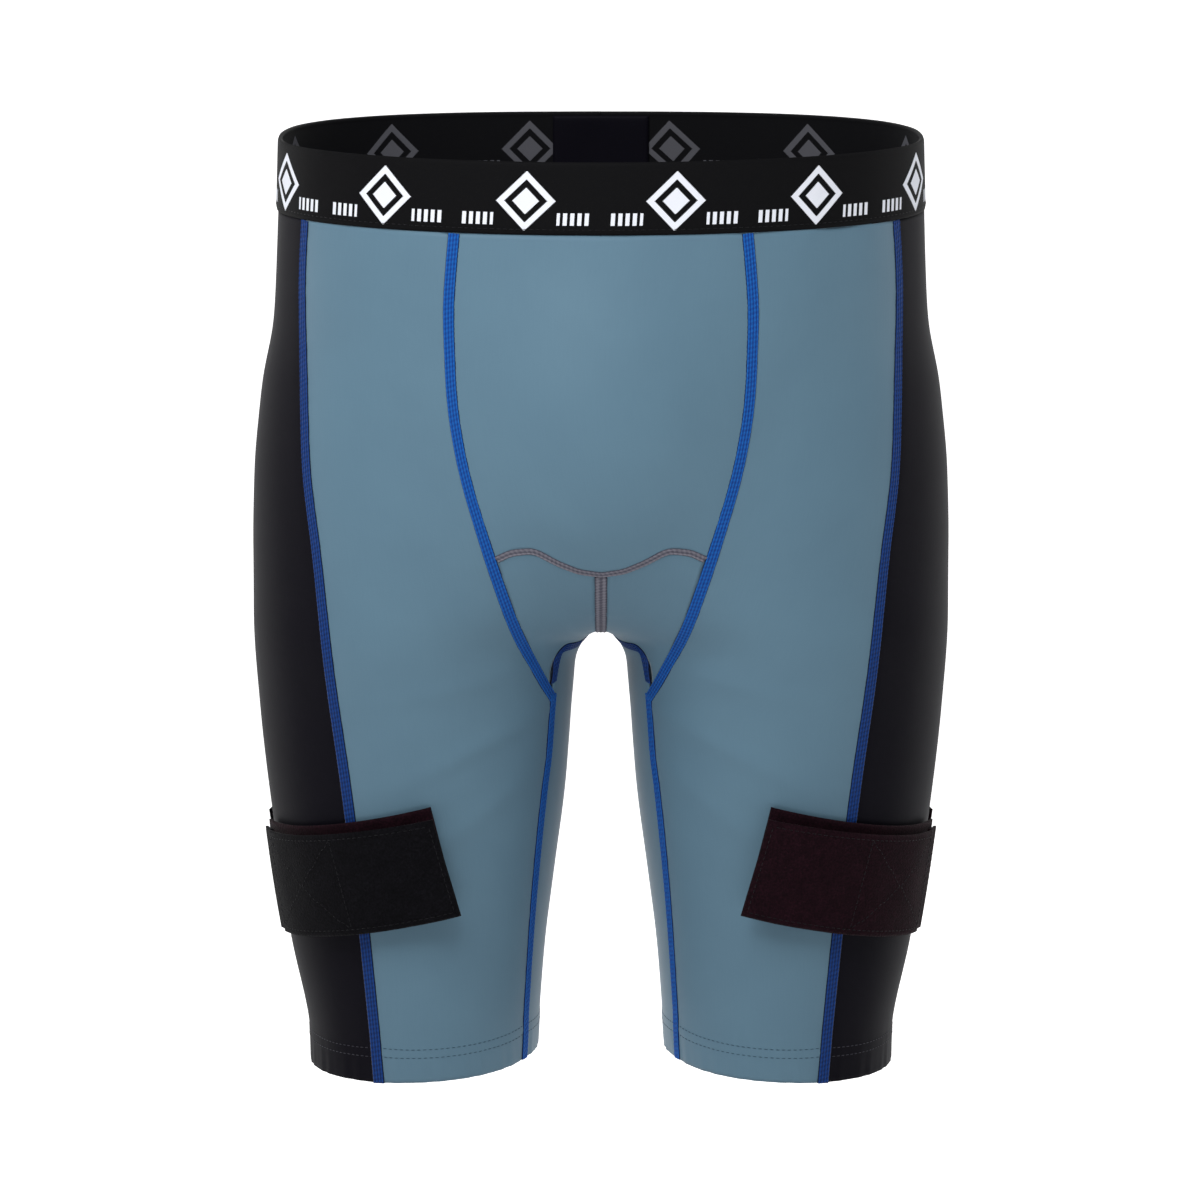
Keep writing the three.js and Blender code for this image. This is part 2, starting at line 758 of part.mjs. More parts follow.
const hookStations = [0.2, 0.32, 0.44, 0.56, 0.68, 0.8, 0.94];
const flapStations = [sewnShare + hingeShare, ...hookStations, 1];
const baseStations = [0, sewnShare, ...hookStations, 1];
const baseLow = seamLift + seamHeight + tabGap;
const baseHigh = baseLow + tabThickness;
const flapLow = through([
  [0, baseHigh + 1.5 * tabGap],
  [0.5 * (sewnShare + hookStations[0]), baseHigh + 2 * tabGap + hookThickness + 0.2],
  [0.5, baseHigh + 2 * tabGap + hookThickness + 0.3 * flapStandOff],
  [1, baseHigh + 2 * tabGap + hookThickness + flapStandOff],
]);

/** One sock tab on the front (side -1) or back (side 1): base, sewn end, flap and hook pad. */
function addTab(name, side) {
  const baseLine = tabLine(side, tabDrop - flapLag);
  const flapLine = tabLine(side, tabDrop);
  const level = (height) => () => height;
  addPair(
    `${name}_base`,
    (leg) => strap(leg(baseLine), baseStations, { width: tabWidth, low: level(baseLow), high: level(baseHigh) }),
    colours.loop,
  );
  addPair(
    `${name}_sewn_end`,
    (leg) => {
      const low = baseHigh + tabGap;
      const sizes = { width: tabWidth, low: level(low), high: level(low + tabThickness) };
      return strap(leg(flapLine), [0, sewnShare], sizes);
    },
    colours.tab,
  );
  addPair(
    `${name}_flap`,
    (leg) => {
      const high = (t) => flapLow(t) + tabThickness;
      return strap(leg(flapLine), flapStations, { width: tabWidth, low: flapLow, high });
    },
    colours.tab,
  );
  addPair(
    `${name}_hook`,
    (leg) => {
      const low = (t) => flapLow(t) - tabGap - hookThickness;
      const high = (t) => flapLow(t) - tabGap;
      const width = tabWidth - 2 * hookInset;
      return strap(leg(flapLine), hookStations, { width, low, high });
    },
    colours.black,
  );
}
addTab('front_tab', -1);
addTab('rear_tab', 1);

export default model;
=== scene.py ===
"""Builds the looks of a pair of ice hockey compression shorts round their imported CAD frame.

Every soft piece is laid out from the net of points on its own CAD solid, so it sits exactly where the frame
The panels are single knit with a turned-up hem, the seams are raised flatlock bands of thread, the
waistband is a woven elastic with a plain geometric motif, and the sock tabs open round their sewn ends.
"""

import json
import logging
import math
import sys
from dataclasses import dataclass, field
from enum import Enum

import bmesh
import bpy
import numpy as np
from mathutils import Matrix, Vector
from mathutils.bvhtree import BVHTree

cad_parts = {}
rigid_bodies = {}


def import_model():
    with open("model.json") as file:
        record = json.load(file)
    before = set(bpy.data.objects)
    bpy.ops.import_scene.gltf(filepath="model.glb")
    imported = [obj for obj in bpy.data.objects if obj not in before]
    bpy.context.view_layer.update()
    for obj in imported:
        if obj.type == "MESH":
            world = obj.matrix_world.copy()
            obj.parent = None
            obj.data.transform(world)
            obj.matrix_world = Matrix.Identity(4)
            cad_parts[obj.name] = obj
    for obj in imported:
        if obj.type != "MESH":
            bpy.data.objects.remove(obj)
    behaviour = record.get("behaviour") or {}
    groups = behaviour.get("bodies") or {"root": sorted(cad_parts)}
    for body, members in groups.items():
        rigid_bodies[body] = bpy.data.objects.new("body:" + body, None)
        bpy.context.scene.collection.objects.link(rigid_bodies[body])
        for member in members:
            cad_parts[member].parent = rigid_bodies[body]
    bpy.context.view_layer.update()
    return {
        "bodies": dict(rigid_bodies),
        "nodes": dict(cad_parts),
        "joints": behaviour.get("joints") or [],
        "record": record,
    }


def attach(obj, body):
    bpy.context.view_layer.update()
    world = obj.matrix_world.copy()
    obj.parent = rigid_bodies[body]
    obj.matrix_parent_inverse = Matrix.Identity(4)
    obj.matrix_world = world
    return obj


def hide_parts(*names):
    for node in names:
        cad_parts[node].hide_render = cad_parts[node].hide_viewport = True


log = logging.getLogger("shorts")

MM = 0.001
TURN = 2 * math.pi
SIDES = ("left", "right")
KNIT_THICKNESS = 1.1 * MM
HEM_HEIGHT = 20 * MM
HEM_STITCH_HEIGHTS = (13.5 * MM, 19 * MM)  # the two needles of the coverstitch, above the edge
OUT_OF_STEP = 1.7  # radians between the sines of an uneven wave
LADDER_LEAN = 4.5  # radians of one stitch that a flatlock's loops lean by, from side to side
FRONT, BACK = Vector((0, -1, 0)), Vector((0, 1, 0))
LEFT, RIGHT = Vector((1, 0, 0)), Vector((-1, 0, 0))
DOWNWARD = Vector((0, 0, -1))


# ---- Nets: the points that a piece is laid out from ------------------------------------------------


class Lead(Enum):
    """Which way the rows of a net follow each other."""

    DOWN = "down the wearer, from the highest row"
    ALONG = "along the longer side, from its higher end, or from the wearer's right if it is level"


def spline(points: np.ndarray, step: float) -> np.ndarray:
    """Runs a natural cubic spline through rows of points and takes new rows from it.

    Args:
        points: rows of points, where the first axis is the one that is followed.
        step: about how far apart the new rows lie, in metres.

    Returns:
        The new rows, evenly spaced, with the first and last where they were.
    """
    gaps = np.linalg.norm(np.diff(points, axis=0), axis=-1).reshape(len(points) - 1, -1).mean(axis=1)
    knots = np.concatenate([[0.0], np.cumsum(gaps)])
    count = len(knots)
    system, load = np.eye(count), np.zeros((count, points[0].size))
    flat = points.reshape(count, -1)
    for i in range(1, count - 1):
        system[i, i - 1 : i + 2] = gaps[i - 1], 2 * (gaps[i - 1] + gaps[i]), gaps[i]
        load[i] = 6 * ((flat[i + 1] - flat[i]) / gaps[i] - (flat[i] - flat[i - 1]) / gaps[i - 1])
    bends = np.linalg.solve(system, load)
    where = np.linspace(0, knots[-1], max(2, round(knots[-1] / step) + 1))
    at = np.clip(np.searchsorted(knots, where, side="right") - 1, 0, count - 2)
    gap = gaps[at][:, None]
    after, before = (where - knots[at])[:, None], (knots[at + 1] - where)[:, None]
    curve = (bends[at] * before**3 + bends[at + 1] * after**3) / (6 * gap)
    curve += (flat[at] / gap - bends[at] * gap / 6) * before
    curve += (flat[at + 1] / gap - bends[at + 1] * gap / 6) * after
    return curve.reshape(len(where), *points.shape[1:])


def lengths(points: np.ndarray) -> np.ndarray:
    """Gives how far each point lies along the first axis from the first row."""
    steps = np.linalg.norm(np.diff(points, axis=0), axis=-1)
    return np.concatenate([np.zeros((1, *steps.shape[1:])), np.cumsum(steps, axis=0)])


def turned(points: np.ndarray) -> np.ndarray:
    """Swaps the rows and the columns of a net."""
    return points.swapaxes(0, 1)


@dataclass
class Net:
    """A rectangular net of points over the outward face of a piece, with rows first and columns second."""

    points: np.ndarray

    def finer(self, row_step: float, column_step: float) -> "Net":
        """Gives the same face with smooth curves between its points.

        Args:
            row_step: the distance between the new rows, in metres.
            column_step: the distance between the new columns, in metres.

        Returns:
            The finer net.
        """
        return Net(turned(spline(turned(spline(self.points, row_step)), column_step)))

    def normals(self) -> np.ndarray:
        """Gives the outward unit vector at each point."""
        outward = np.cross(*np.gradient(self.points, axis=(0, 1)))
        return outward / np.linalg.norm(outward, axis=-1, keepdims=True)

    def from_top(self) -> np.ndarray:
        """Gives each point's distance down from the first row."""
        return lengths(self.points)

    def from_bottom(self) -> np.ndarray:
        """Gives each point's distance up from the last row."""
        down = lengths(self.points)
        return down[-1:] - down

    def from_first_side(self) -> np.ndarray:
        """Gives each point's distance across from the first column."""
        return turned(lengths(turned(self.points)))

    def from_last_side(self) -> np.ndarray:
        """Gives each point's distance across from the last column."""
        across = self.from_first_side()
        return across[:, -1:] - across

    def raised(self, height: np.ndarray | float) -> "Net":
        """Gives the net with each point moved outward by a height in metres."""
        heights = np.broadcast_to(height, self.points.shape[:2])
        return Net(self.points + self.normals() * heights[..., None])

    def area(self) -> float:
        """Adds up the face, where a point on an edge stands for half a cell.

        Returns:
            Its area in square metres.
        """
        cells = np.linalg.norm(np.cross(*np.gradient(self.points, axis=(0, 1))), axis=-1)
        cells[[0, -1]] /= 2
        cells[:, [0, -1]] /= 2
        return float(cells.sum())


class FrameFace:
    """Reads the outward face of a bent block in the frame as a net."""

    MERGE = 0.002 * MM
    RIM_WIDTHS = (0.9 * MM, 1.3 * MM, 1.7 * MM, 2.0 * MM, 2.5 * MM, 3.0 * MM)

    def __init__(self, frame: dict, node: str) -> None:
        """Merges a copy of the node's triangles.

        Args:
            frame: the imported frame.
            node: the block's name.
        """
        self.node = node
        self.mesh = bmesh.new()
        self.mesh.from_mesh(frame["nodes"][node].data)
        bmesh.ops.remove_doubles(self.mesh, verts=self.mesh.verts, dist=self.MERGE)
        self.mesh.normal_update()

    def skins(self) -> list[set]:
        """Parts the block at its thin rim, whose width is tried from the narrowest up.

        Returns:
            The faces of its two broad sides.
        """
        for width in self.RIM_WIDTHS:
            left = {face for face in self.mesh.faces if min(e.calc_length() for e in face.edges) > width}
            found = []
            while left:
                patch, waiting = set(), [left.pop()]
                while waiting:
                    face = waiting.pop()
                    patch.add(face)
                    beside = {other for edge in face.edges for other in edge.link_faces} & left
                    left -= beside
                    waiting.extend(beside)
                found.append(patch)
            if len(found) == 2 and len(found[0]) == len(found[1]):
                return found
        raise ValueError(f"{self.node} has no two equal faces")

    def net(self, lead: Lead, outward: Vector | None) -> Net:
        """Walks the outward face's triangles, cell by cell, into rows and columns.

        Args:
            lead: which way the rows follow each other.
            outward: a direction that the face looks in, or None where it looks away from the middle.

        Returns:
            The net, turned as lead says, with its columns so that its normals point outward.
        """
        skin = max(self.skins(), key=lambda side: sum(self.facing(face, outward) for face in side))
        points = self.walk(skin)
        if points is None:
            raise ValueError(f"{self.node} is not a net of cells")
        height = points[..., 2]
        steeper_across = abs(height[-1] - height[0]).mean() < abs(height[:, -1] - height[:, 0]).mean()
        longer_across = lengths(points)[-1].mean() < lengths(turned(points))[-1].mean()
        if longer_across if lead is Lead.ALONG else steeper_across:
            points = turned(points)
        start, end = points[0].mean(axis=0), points[-1].mean(axis=0)
        level = abs(start[2] - end[2]) < self.MERGE
        if start[0] > end[0] if level else start[2] < end[2]:
            points = points[::-1]
        found = Net(points)
        centre = Vector(points.reshape(-1, 3)[points.shape[0] * points.shape[1] // 2])
        near = min(skin, key=lambda face: (face.calc_center_median() - centre).length)
        away = np.linalg.norm(points - np.array(near.calc_center_median()), axis=-1)
        if found.normals().reshape(-1, 3)[away.argmin()] @ np.array(near.normal) < 0:
            found = Net(points[:, ::-1])
        self.mesh.free()
        return found

    @staticmethod
    def facing(face: bmesh.types.BMFace, outward: Vector | None) -> float:
        """Gives how much of a face looks outward, or away from the vertical axis."""
        away = outward or face.calc_center_median().to_2d().to_3d()
        return face.normal.dot(away) * face.calc_area()

    def walk(self, skin: set) -> np.ndarray | None:
        """Finds a corner from which the whole skin reads as rows and columns, and reads it.

        Args:
            skin: the triangles of one broad side.

        Returns:
            The rows of points, or None where no corner fits.
        """
        border = {}
        for face in skin:
            for loop in face.loops:
                if sum(other in skin for other in loop.edge.link_faces) == 1:
                    border[loop.vert] = loop.link_loop_next.vert
        first = next(iter(border))
        ring = [first]
        while border[ring[-1]] is not first:
            ring.append(border[ring[-1]])
            if len(ring) > len(border):
                return None
        total, half = len({v for face in skin for v in face.verts}), len(ring) // 2
        spread = math.isqrt(max(0, half * half - 4 * (total - half - 1)))
        for wide in {(half - spread) // 2, (half + spread) // 2}:
            for start in range(len(ring)):
                top = [ring[(start + k) % len(ring)] for k in range(wide + 1)]
                side = [ring[(start - k) % len(ring)] for k in range(half - wide + 1)]
                rows = self.rows_from(skin, top, side)
                if rows is not None:
                    return np.array([[v.co for v in row] for row in rows])
        return None

    def rows_from(self, skin: set, top: list, side: list) -> list | None:
        """Fills in a net from its first row and first column.

        Args:
            skin: the triangles of one broad side.
            top: the corners of the first row.
            side: the corners of the first column.

        Returns:
            The rows of corners, or None where the row and the column don't fit the triangles.
        """
        rows, used = [top], set(top)
        for start in side[1:]:
            if start in used:
                return None
            row = [start]
            used.add(start)
            for above_left, above in zip(rows[-1], rows[-1][1:]):
                left = row[-1]
                beside_cut = self.thirds(skin, above, left)
                across = self.thirds(skin, above_left, above) & self.thirds(skin, above_left, left)
                found = across - used or (beside_cut - used if above_left in beside_cut else set())
                if len(found) != 1:
                    return None
                row.append(found.pop())
                used.add(row[-1])
            rows.append(row)
        return rows

    def thirds(self, skin: set, start: bmesh.types.BMVert, end: bmesh.types.BMVert) -> set:
        """Finds the corners that face an edge.

        Args:
            skin: the triangles of one broad side.
            start: one end of the edge.
            end: its other end.

        Returns:
            The third corner of each triangle on the edge, or an empty set where there is no edge.
        """
        edge = self.mesh.edges.get((start, end))
        faces = [face for face in edge.link_faces if face in skin] if edge else []
        return {vert for face in faces for vert in face.verts} - {start, end}


# ---- Mesh and colour helpers -----------------------------------------------------------------------


def link(name: str, mesh: bpy.types.Mesh, *materials: bpy.types.Material) -> bpy.types.Object:
    """Puts a mesh in the scene as a piece.

    Args:
        name: the piece's name.
        mesh: its mesh, in its place.
        materials: its materials, in the order of their slots.

    Returns:
        The piece.
    """
    piece = bpy.data.objects.new(name, mesh)
    bpy.context.scene.collection.objects.link(piece)
    for material in materials:
        mesh.materials.append(material)
    return piece


def cloth(name: str, net: Net, uv: np.ndarray, *materials: bpy.types.Material) -> bpy.types.Object:
    """Makes a smooth grid of faces over a net.

    Args:
        name: the piece's name.
        net: its points.
        uv: two numbers for each point, in metres.
        materials: its materials, of which the faces take the first.

    Returns:
        The new piece, one layer thick.
    """
    rows, columns = net.points.shape[:2]
    grid = bmesh.new()
    bmesh.ops.create_grid(grid, x_segments=columns - 1, y_segments=rows - 1, size=1)
    mesh = bpy.data.meshes.new(name)
    grid.to_mesh(mesh)
    grid.free()
    flat = np.empty(len(mesh.vertices) * 3)
    mesh.vertices.foreach_get("co", flat)
    across, up = flat[0::3], flat[1::3]
    column = np.rint((across + 1) / 2 * (columns - 1)).astype(int)
    row = np.rint((1 - up) / 2 * (rows - 1)).astype(int)
    mesh.vertices.foreach_set("co", net.points[row, column].ravel())
    corner = np.empty(len(mesh.loops), np.int32)
    mesh.loops.foreach_get("vertex_index", corner)
    layer = mesh.uv_layers.new(name="UVMap")
    layer.data.foreach_set("uv", uv[row[corner], column[corner]].ravel())
    mesh.polygons.foreach_set("use_smooth", np.ones(len(mesh.polygons), bool))
    mesh.update()
    return link(name, mesh, *materials)


def thicken(piece: bpy.types.Object, thickness: float, inside: int = 0) -> bpy.types.Modifier:
    """Gives a sheet its real thickness, on its inner side.

    Args:
        piece: a sheet one layer thick.
        thickness: in metres.
        inside: how many slots further on the inner side's material is.

    Returns:
        The modifier.
    """
    solid = piece.modifiers.new("thickness", "SOLIDIFY")
    solid.thickness = thickness
    solid.offset = -1
    solid.use_even_offset = False
    solid.material_offset = inside
    return solid


def dress(piece: bpy.types.Object, body: str, slot: str, *nodes: str) -> bpy.types.Object:
    """Fastens a finished piece to the frame and reports it.

    Args:
        piece: the finished piece.
        body: the body that it moves with.
        slot: the finish that it shows; not used.
        nodes: the CAD nodes that it stands for.

    Returns:
        The same piece.
    """
    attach(piece, body)
    if nodes:
        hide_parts(*nodes)
    log.info("%s: %d vertices, rides on %s", piece.name, len(piece.data.vertices), body)
    return piece


def ripple(where: np.ndarray, *wavelengths: float) -> np.ndarray:
    """Gives an uneven wave between about -1 and 1 from a few sines of real wavelengths."""
    waves = [np.sin(TURN * where / length + OUT_OF_STEP * i) for i, length in enumerate(wavelengths)]
    return sum(waves) / len(waves)


def linear(colour: str) -> tuple[float, float, float, float]:
    """Turns an sRGB hex colour to linear light.

    Args:
        colour: six hex digits after a hash sign.

    Returns:
        Red, green, blue and an alpha of 1.
    """
    parts = [int(colour[i : i + 2], 16) / 255 for i in (1, 3, 5)]
    return (*[c / 12.92 if c <= 0.04045 else ((c + 0.055) / 1.055) ** 2.4 for c in parts], 1.0)


def add_node(
    tree: bpy.types.NodeTree, kind: str, links: dict | None = None, **settings: object
) -> bpy.types.Node:
    """Adds one node with its settings, input values and links.

    Args:
        tree: the material's node tree.
        kind: the node's type name.
        links: input name or number to a value, or to the output socket that feeds it.
        settings: attributes of the node.

    Returns:
        The new node.
    """
    node = tree.nodes.new(kind)
    for key, value in settings.items():
        setattr(node, key, value)
    for key, value in (links or {}).items():
        if isinstance(value, bpy.types.NodeSocket):
            tree.links.new(value, node.inputs[key])
        else:
            node.inputs[key].default_value = value
    return node


@dataclass
class Shader:
    """A material under construction: its node tree and its principled shader."""

    name: str
    roughness: float = 0.8
    sheen: float = 0.0
    sheen_roughness: float = 0.4
    specular: float = 0.3

    def __post_init__(self) -> None:
        """Makes the empty material."""
        self.material = bpy.data.materials.new(self.name)
        self.material.use_nodes = True
        self.tree = self.material.node_tree
        self.surface = self.tree.nodes["Principled BSDF"]
        self.surface.inputs["Roughness"].default_value = self.roughness
        self.surface.inputs["Specular IOR Level"].default_value = self.specular
        self.surface.inputs["Sheen Weight"].default_value = self.sheen
        self.surface.inputs["Sheen Roughness"].default_value = self.sheen_roughness

    def place(self, output: str) -> bpy.types.NodeSocket:
        """Gives the UV or Object coordinates, in metres."""
        return add_node(self.tree, "ShaderNodeTexCoord").outputs[output]

    def parts(self, vector: bpy.types.NodeSocket) -> bpy.types.bpy_prop_collection:
        """Splits a vector into its three numbers."""
        return add_node(self.tree, "ShaderNodeSeparateXYZ", {0: vector}).outputs

    def maths(self, operation: str, *values: object) -> bpy.types.NodeSocket:
        """Adds a sum of one or more values, by the operation's name, and returns its output."""
        return add_node(self.tree, "ShaderNodeMath", dict(enumerate(values)), operation=operation).outputs[0]

    def mixed(self, share: object, first: object, second: object) -> bpy.types.NodeSocket:
        """Mixes two colours by a share and returns the colour."""
        links = {0: share, 6: first, 7: second}
        return add_node(self.tree, "ShaderNodeMix", links, data_type="RGBA").outputs[2]

    def noise(self, where: bpy.types.NodeSocket, cell_mm: float, detail: float = 2.0) -> bpy.types.NodeSocket:
        """Adds a soft noise whose cells are of a real size and returns its value."""
        links = {"Vector": where, "Scale": 1 / (cell_mm * MM), "Detail": detail}
        return add_node(self.tree, "ShaderNodeTexNoise", links).outputs["Fac"]

    def streaks(self, where: bpy.types.NodeSocket, across_mm: float, along_mm: float) -> bpy.types.NodeSocket:
        """Adds a noise that is drawn out along U or V.

        Args:
            where: the UV coordinates, in metres.
            across_mm: the size of its cells along U.
            along_mm: their size along V.

        Returns:
            The noise's value.
        """
        scale = (1 / (across_mm * MM), 1 / (along_mm * MM), 1.0)
        mapped = add_node(self.tree, "ShaderNodeMapping", {"Vector": where, "Scale": scale}).outputs[0]
        return add_node(self.tree, "ShaderNodeTexNoise", {"Vector": mapped, "Scale": 1.0}).outputs["Fac"]

    def bump(self, height: bpy.types.NodeSocket, depth_mm: float, strength: float = 1.0) -> None:
        """Feeds a height to the shader's normal.

        Args:
            height: from 0 to 1.
            depth_mm: how deep a height of 1 is.
            strength: the share of it that shows.
        """
        links = {"Height": height, "Distance": depth_mm * MM, "Strength": strength}
        normal = add_node(self.tree, "ShaderNodeBump", links).outputs[0]
        self.tree.links.new(normal, self.surface.inputs["Normal"])

    def colour(self, value: bpy.types.NodeSocket) -> bpy.types.Material:
        """Links the base colour and gives the finished material."""
        self.tree.links.new(value, self.surface.inputs["Base Color"])
        return self.material


# ---- Finishes --------------------------------------------------------------------------------------


@dataclass(frozen=True)
class Knit:
    """Warp-knitted polyamide and elastane: smooth, with a soft sheen and faint columns of stitches."""

    name: str
    base: str
    shade: str
    light: str
    sheen: float = 0.2
    roughness: float = 0.6
    specular: float = 0.25
    wale_mm: tuple[float, float] = (0.9, 16.0)  # real columns are 0.4 mm apart, drawn coarser to show
    course_mm: tuple[float, float] = (14.0, 0.8)
    loop_mm: float = 0.7
    cloud_mm: float = 48.0
    wale_share: float = 0.6  # of the fine pattern, where the loops make up the rest
    fine_share: float = 0.35  # of the tone, where slow clouds make up the rest
    base_share: float = 0.6  # of the plain colour

    def make(self) -> bpy.types.Material:
        """Builds the material on the piece's UV map, where V runs along the stitch columns.

        Returns:
            The material.
        """
        shader = Shader(self.name, roughness=self.roughness, sheen=self.sheen, specular=self.specular)
        uv = shader.place("UV")
        wales, courses = shader.streaks(uv, *self.wale_mm), shader.streaks(uv, *self.course_mm)
        loops = shader.maths("MULTIPLY", shader.noise(uv, self.loop_mm), 1 - self.wale_share)
        fine = shader.maths("MULTIPLY_ADD", wales, self.wale_share, loops)
        shade, light = linear(self.shade), linear(self.light)
        clouds = shader.mixed(shader.noise(uv, self.cloud_mm, 4.0), shade, light)
        tone = shader.mixed(self.fine_share, clouds, shader.mixed(fine, shade, light))
        shader.bump(shader.maths("MULTIPLY_ADD", courses, 0.5, fine), 0.12, 0.45)
        return shader.colour(shader.mixed(self.base_share, tone, linear(self.base)))


@dataclass(frozen=True)
class Thread:
    """Twisted polyester sewing thread: matt, with painted shade that darkens its grooves and the edges where
    the bands of it end.
    """

    name: str
    base: str
    # painted shade: the colour of the grooves between the threads
    groove_shade: str
    # painted shade: the colour along the band's sides, where it turns down into the knit
    edge: str
    ridges: int
    stitch_mm: float = 2.6
    edge_shade_half: float = 0.44  # past this share from the middle, the band shows its edge colour, a painted shade

    def make(self) -> bpy.types.Material:
        """Builds the material. U is the share of the seam's width and V the length along it in metres.

        Returns:
            The material.
        """
        shader = Shader(self.name, roughness=0.62, sheen=0.08, specular=0.15)
        uv = shader.place("UV")
        share, along, _ = shader.parts(uv)
        ridge = shader.maths("COSINE", shader.maths("MULTIPLY", share, TURN * self.ridges))
        lean = shader.maths("MULTIPLY", share, LADDER_LEAN)
        ladder = shader.maths("SINE", shader.maths("MULTIPLY_ADD", along, TURN / (self.stitch_mm * MM), lean))
        height = shader.maths("MULTIPLY_ADD", ladder, 0.22, shader.maths("MULTIPLY_ADD", ridge, -0.42, 0.5))
        fibre = shader.noise(shader.place("Object"), 0.5)
        # painted shade: the colour darkens with the depth of the grooves and loops, mixed with the fibres'
        # random tone
        worn = shader.maths("MULTIPLY_ADD", fibre, 0.4, shader.maths("MULTIPLY_ADD", height, 1.15, -0.32))
        unshaded_share = add_node(shader.tree, "ShaderNodeClamp", {"Value": worn}).outputs[0]
        band = shader.mixed(unshaded_share, linear(self.groove_shade), linear(self.base))
        # painted shade along the band's sides
        rim = shader.maths("COMPARE", share, 0.5, self.edge_shade_half)
        shader.bump(shader.maths("ADD", height, shader.maths("MULTIPLY", fibre, 0.5)), 0.2, 0.6)
        return shader.colour(shader.mixed(rim, linear(self.edge), band))


@dataclass(frozen=True)
class Jacquard:
    """Woven elastic: fine cross ribs, with a motif of nested lozenges and short bars woven in."""

    name: str
    ground: str
    motif: str
    pitch: float  # from one lozenge to the next, in metres
    middle_mm: float = 20.5  # the lozenges' centres below the top edge
    reach_mm: tuple[float, float] = (15.5, 15.5)  # half a lozenge, across and down
    pick_mm: float = 0.55  # one step of the weave, drawn a little coarser than the real one
    border: tuple[float, float] = (0.87, 0.13)  # middle and half width, as shares of the reach
    heart: tuple[float, float] = (0.2, 0.26)
    bar_rows_mm: tuple[float, float] = (9.6, 3.1)  # the bars' middle below the lozenges' one, and half height
    bar_span_mm: tuple[float, float] = (26.0, 9.4)  # middle of a group of bars, and half its width
    bar_pitch_mm: float = 3.9
    bar_place: tuple[float, float] = (0.4, 0.3)  # middle and half width of a bar, as shares of its pitch
    rib_mm: float = 1.3
    warp_mm: float = 0.9

    def make(self) -> bpy.types.Material:
        """Builds the material. U is the distance round from the centre front, V down from the top edge.

        Returns:
            The material.
        """
        shader = Shader(self.name, roughness=0.7, sheen=0.02, specular=0.06)
        u, v, _ = shader.parts(shader.place("UV"))
        cell = shader.maths("FRACT", shader.maths("DIVIDE", u, self.pitch))
        off_centre = shader.maths("ABSOLUTE", shader.maths("SUBTRACT", cell, 0.5))
        across = shader.maths("SNAP", shader.maths("MULTIPLY", off_centre, self.pitch / MM), self.pick_mm)
        down = shader.maths("SNAP", shader.maths("MULTIPLY_ADD", v, 1 / MM, -self.middle_mm), self.pick_mm)
        shares = [
            shader.maths("DIVIDE", distance, reach)
            for distance, reach in zip((across, shader.maths("ABSOLUTE", down)), self.reach_mm)
        ]
        ring = shader.maths("ADD", *shares)
        outlines = [shader.maths("COMPARE", ring, *band) for band in (self.border, self.heart)]
        in_bar = shader.maths("FRACT", shader.maths("DIVIDE", across, self.bar_pitch_mm))
        bars = shader.maths("COMPARE", in_bar, *self.bar_place)
        for where, limits in ((across, self.bar_span_mm), (down, self.bar_rows_mm)):
            bars = shader.maths("MULTIPLY", bars, shader.maths("COMPARE", where, *limits))
        drawn = shader.maths("MAXIMUM", shader.maths("MAXIMUM", *outlines), bars)
        ribs = shader.maths("SINE", shader.maths("MULTIPLY", v, TURN / (self.rib_mm * MM)))
        warp = shader.maths("SINE", shader.maths("MULTIPLY", u, TURN / (self.warp_mm * MM)))
        weave = shader.maths("MULTIPLY_ADD", shader.maths("MULTIPLY", ribs, warp), 0.25, 0.5)
        ground = shader.mixed(weave, linear("#050506"), linear(self.ground))
        lit = shader.maths("MULTIPLY", drawn, shader.maths("MULTIPLY_ADD", weave, 0.35, 0.76))
        shader.bump(shader.maths("ADD", weave, shader.maths("MULTIPLY", drawn, 0.8)), 0.22, 0.5)
        return shader.colour(shader.mixed(lit, ground, linear(self.motif)))


@dataclass(frozen=True)
class Pile:
    """Brushed loop pile, or the stiff hooks that grip it: short tangled fibres with a rim sheen and a painted
    highlight on the raised fibres.
    """

    name: str
    base: str
    # painted highlight: the colour of the raised fibres
    tip_highlight: str
    fibre_mm: float = 1.1
    depth_mm: float = 0.5
    patch_mm: float = 9.0

    def make(self) -> bpy.types.Material:
        """Builds the material on Object coordinates, because a pile has no direction.

        Returns:
            The material.
        """
        shader = Shader(self.name, roughness=0.92, sheen=0.06, specular=0.04)
        where = shader.place("Object")
        tangle = shader.noise(where, self.fibre_mm, 4.0)
        patchy = shader.noise(where, self.patch_mm)
        # painted highlight: the colour lightens where the fibres stand highest, made patchy at random
        raised = shader.maths("POWER", tangle, 2.2)
        shader.bump(tangle, self.depth_mm, 0.9)
        highlight_share = shader.maths("MULTIPLY", raised, shader.maths("MULTIPLY_ADD", patchy, 1.6, 0.7))
        return shader.colour(shader.mixed(highlight_share, linear(self.base), linear(self.tip_highlight)))


@dataclass(frozen=True)
class Moulded:
    """Injection-moulded plastic or rubber: even, with the fine grain of the mould."""

    name: str
    base: str
    worn: str
    roughness: float
    grain_mm: float = 1.4
    patch_mm: float = 30.0

    def make(self) -> bpy.types.Material:
        """Builds the material on Object coordinates.

        Returns:
            The material.
        """
        shader = Shader(self.name, roughness=self.roughness, specular=0.5)
        where = shader.place("Object")
        shader.bump(shader.noise(where, self.grain_mm), 0.05, 0.35)
        patchy = shader.noise(where, self.patch_mm)
        return shader.colour(shader.mixed(patchy, linear(self.base), linear(self.worn)))


# ---- Knit panels -----------------------------------------------------------------------------------


class Cut(Enum):
    """How a panel ends at the bottom."""

    HEMMED = "turned up and coverstitched"
    SEAMED = "sewn into a seam"


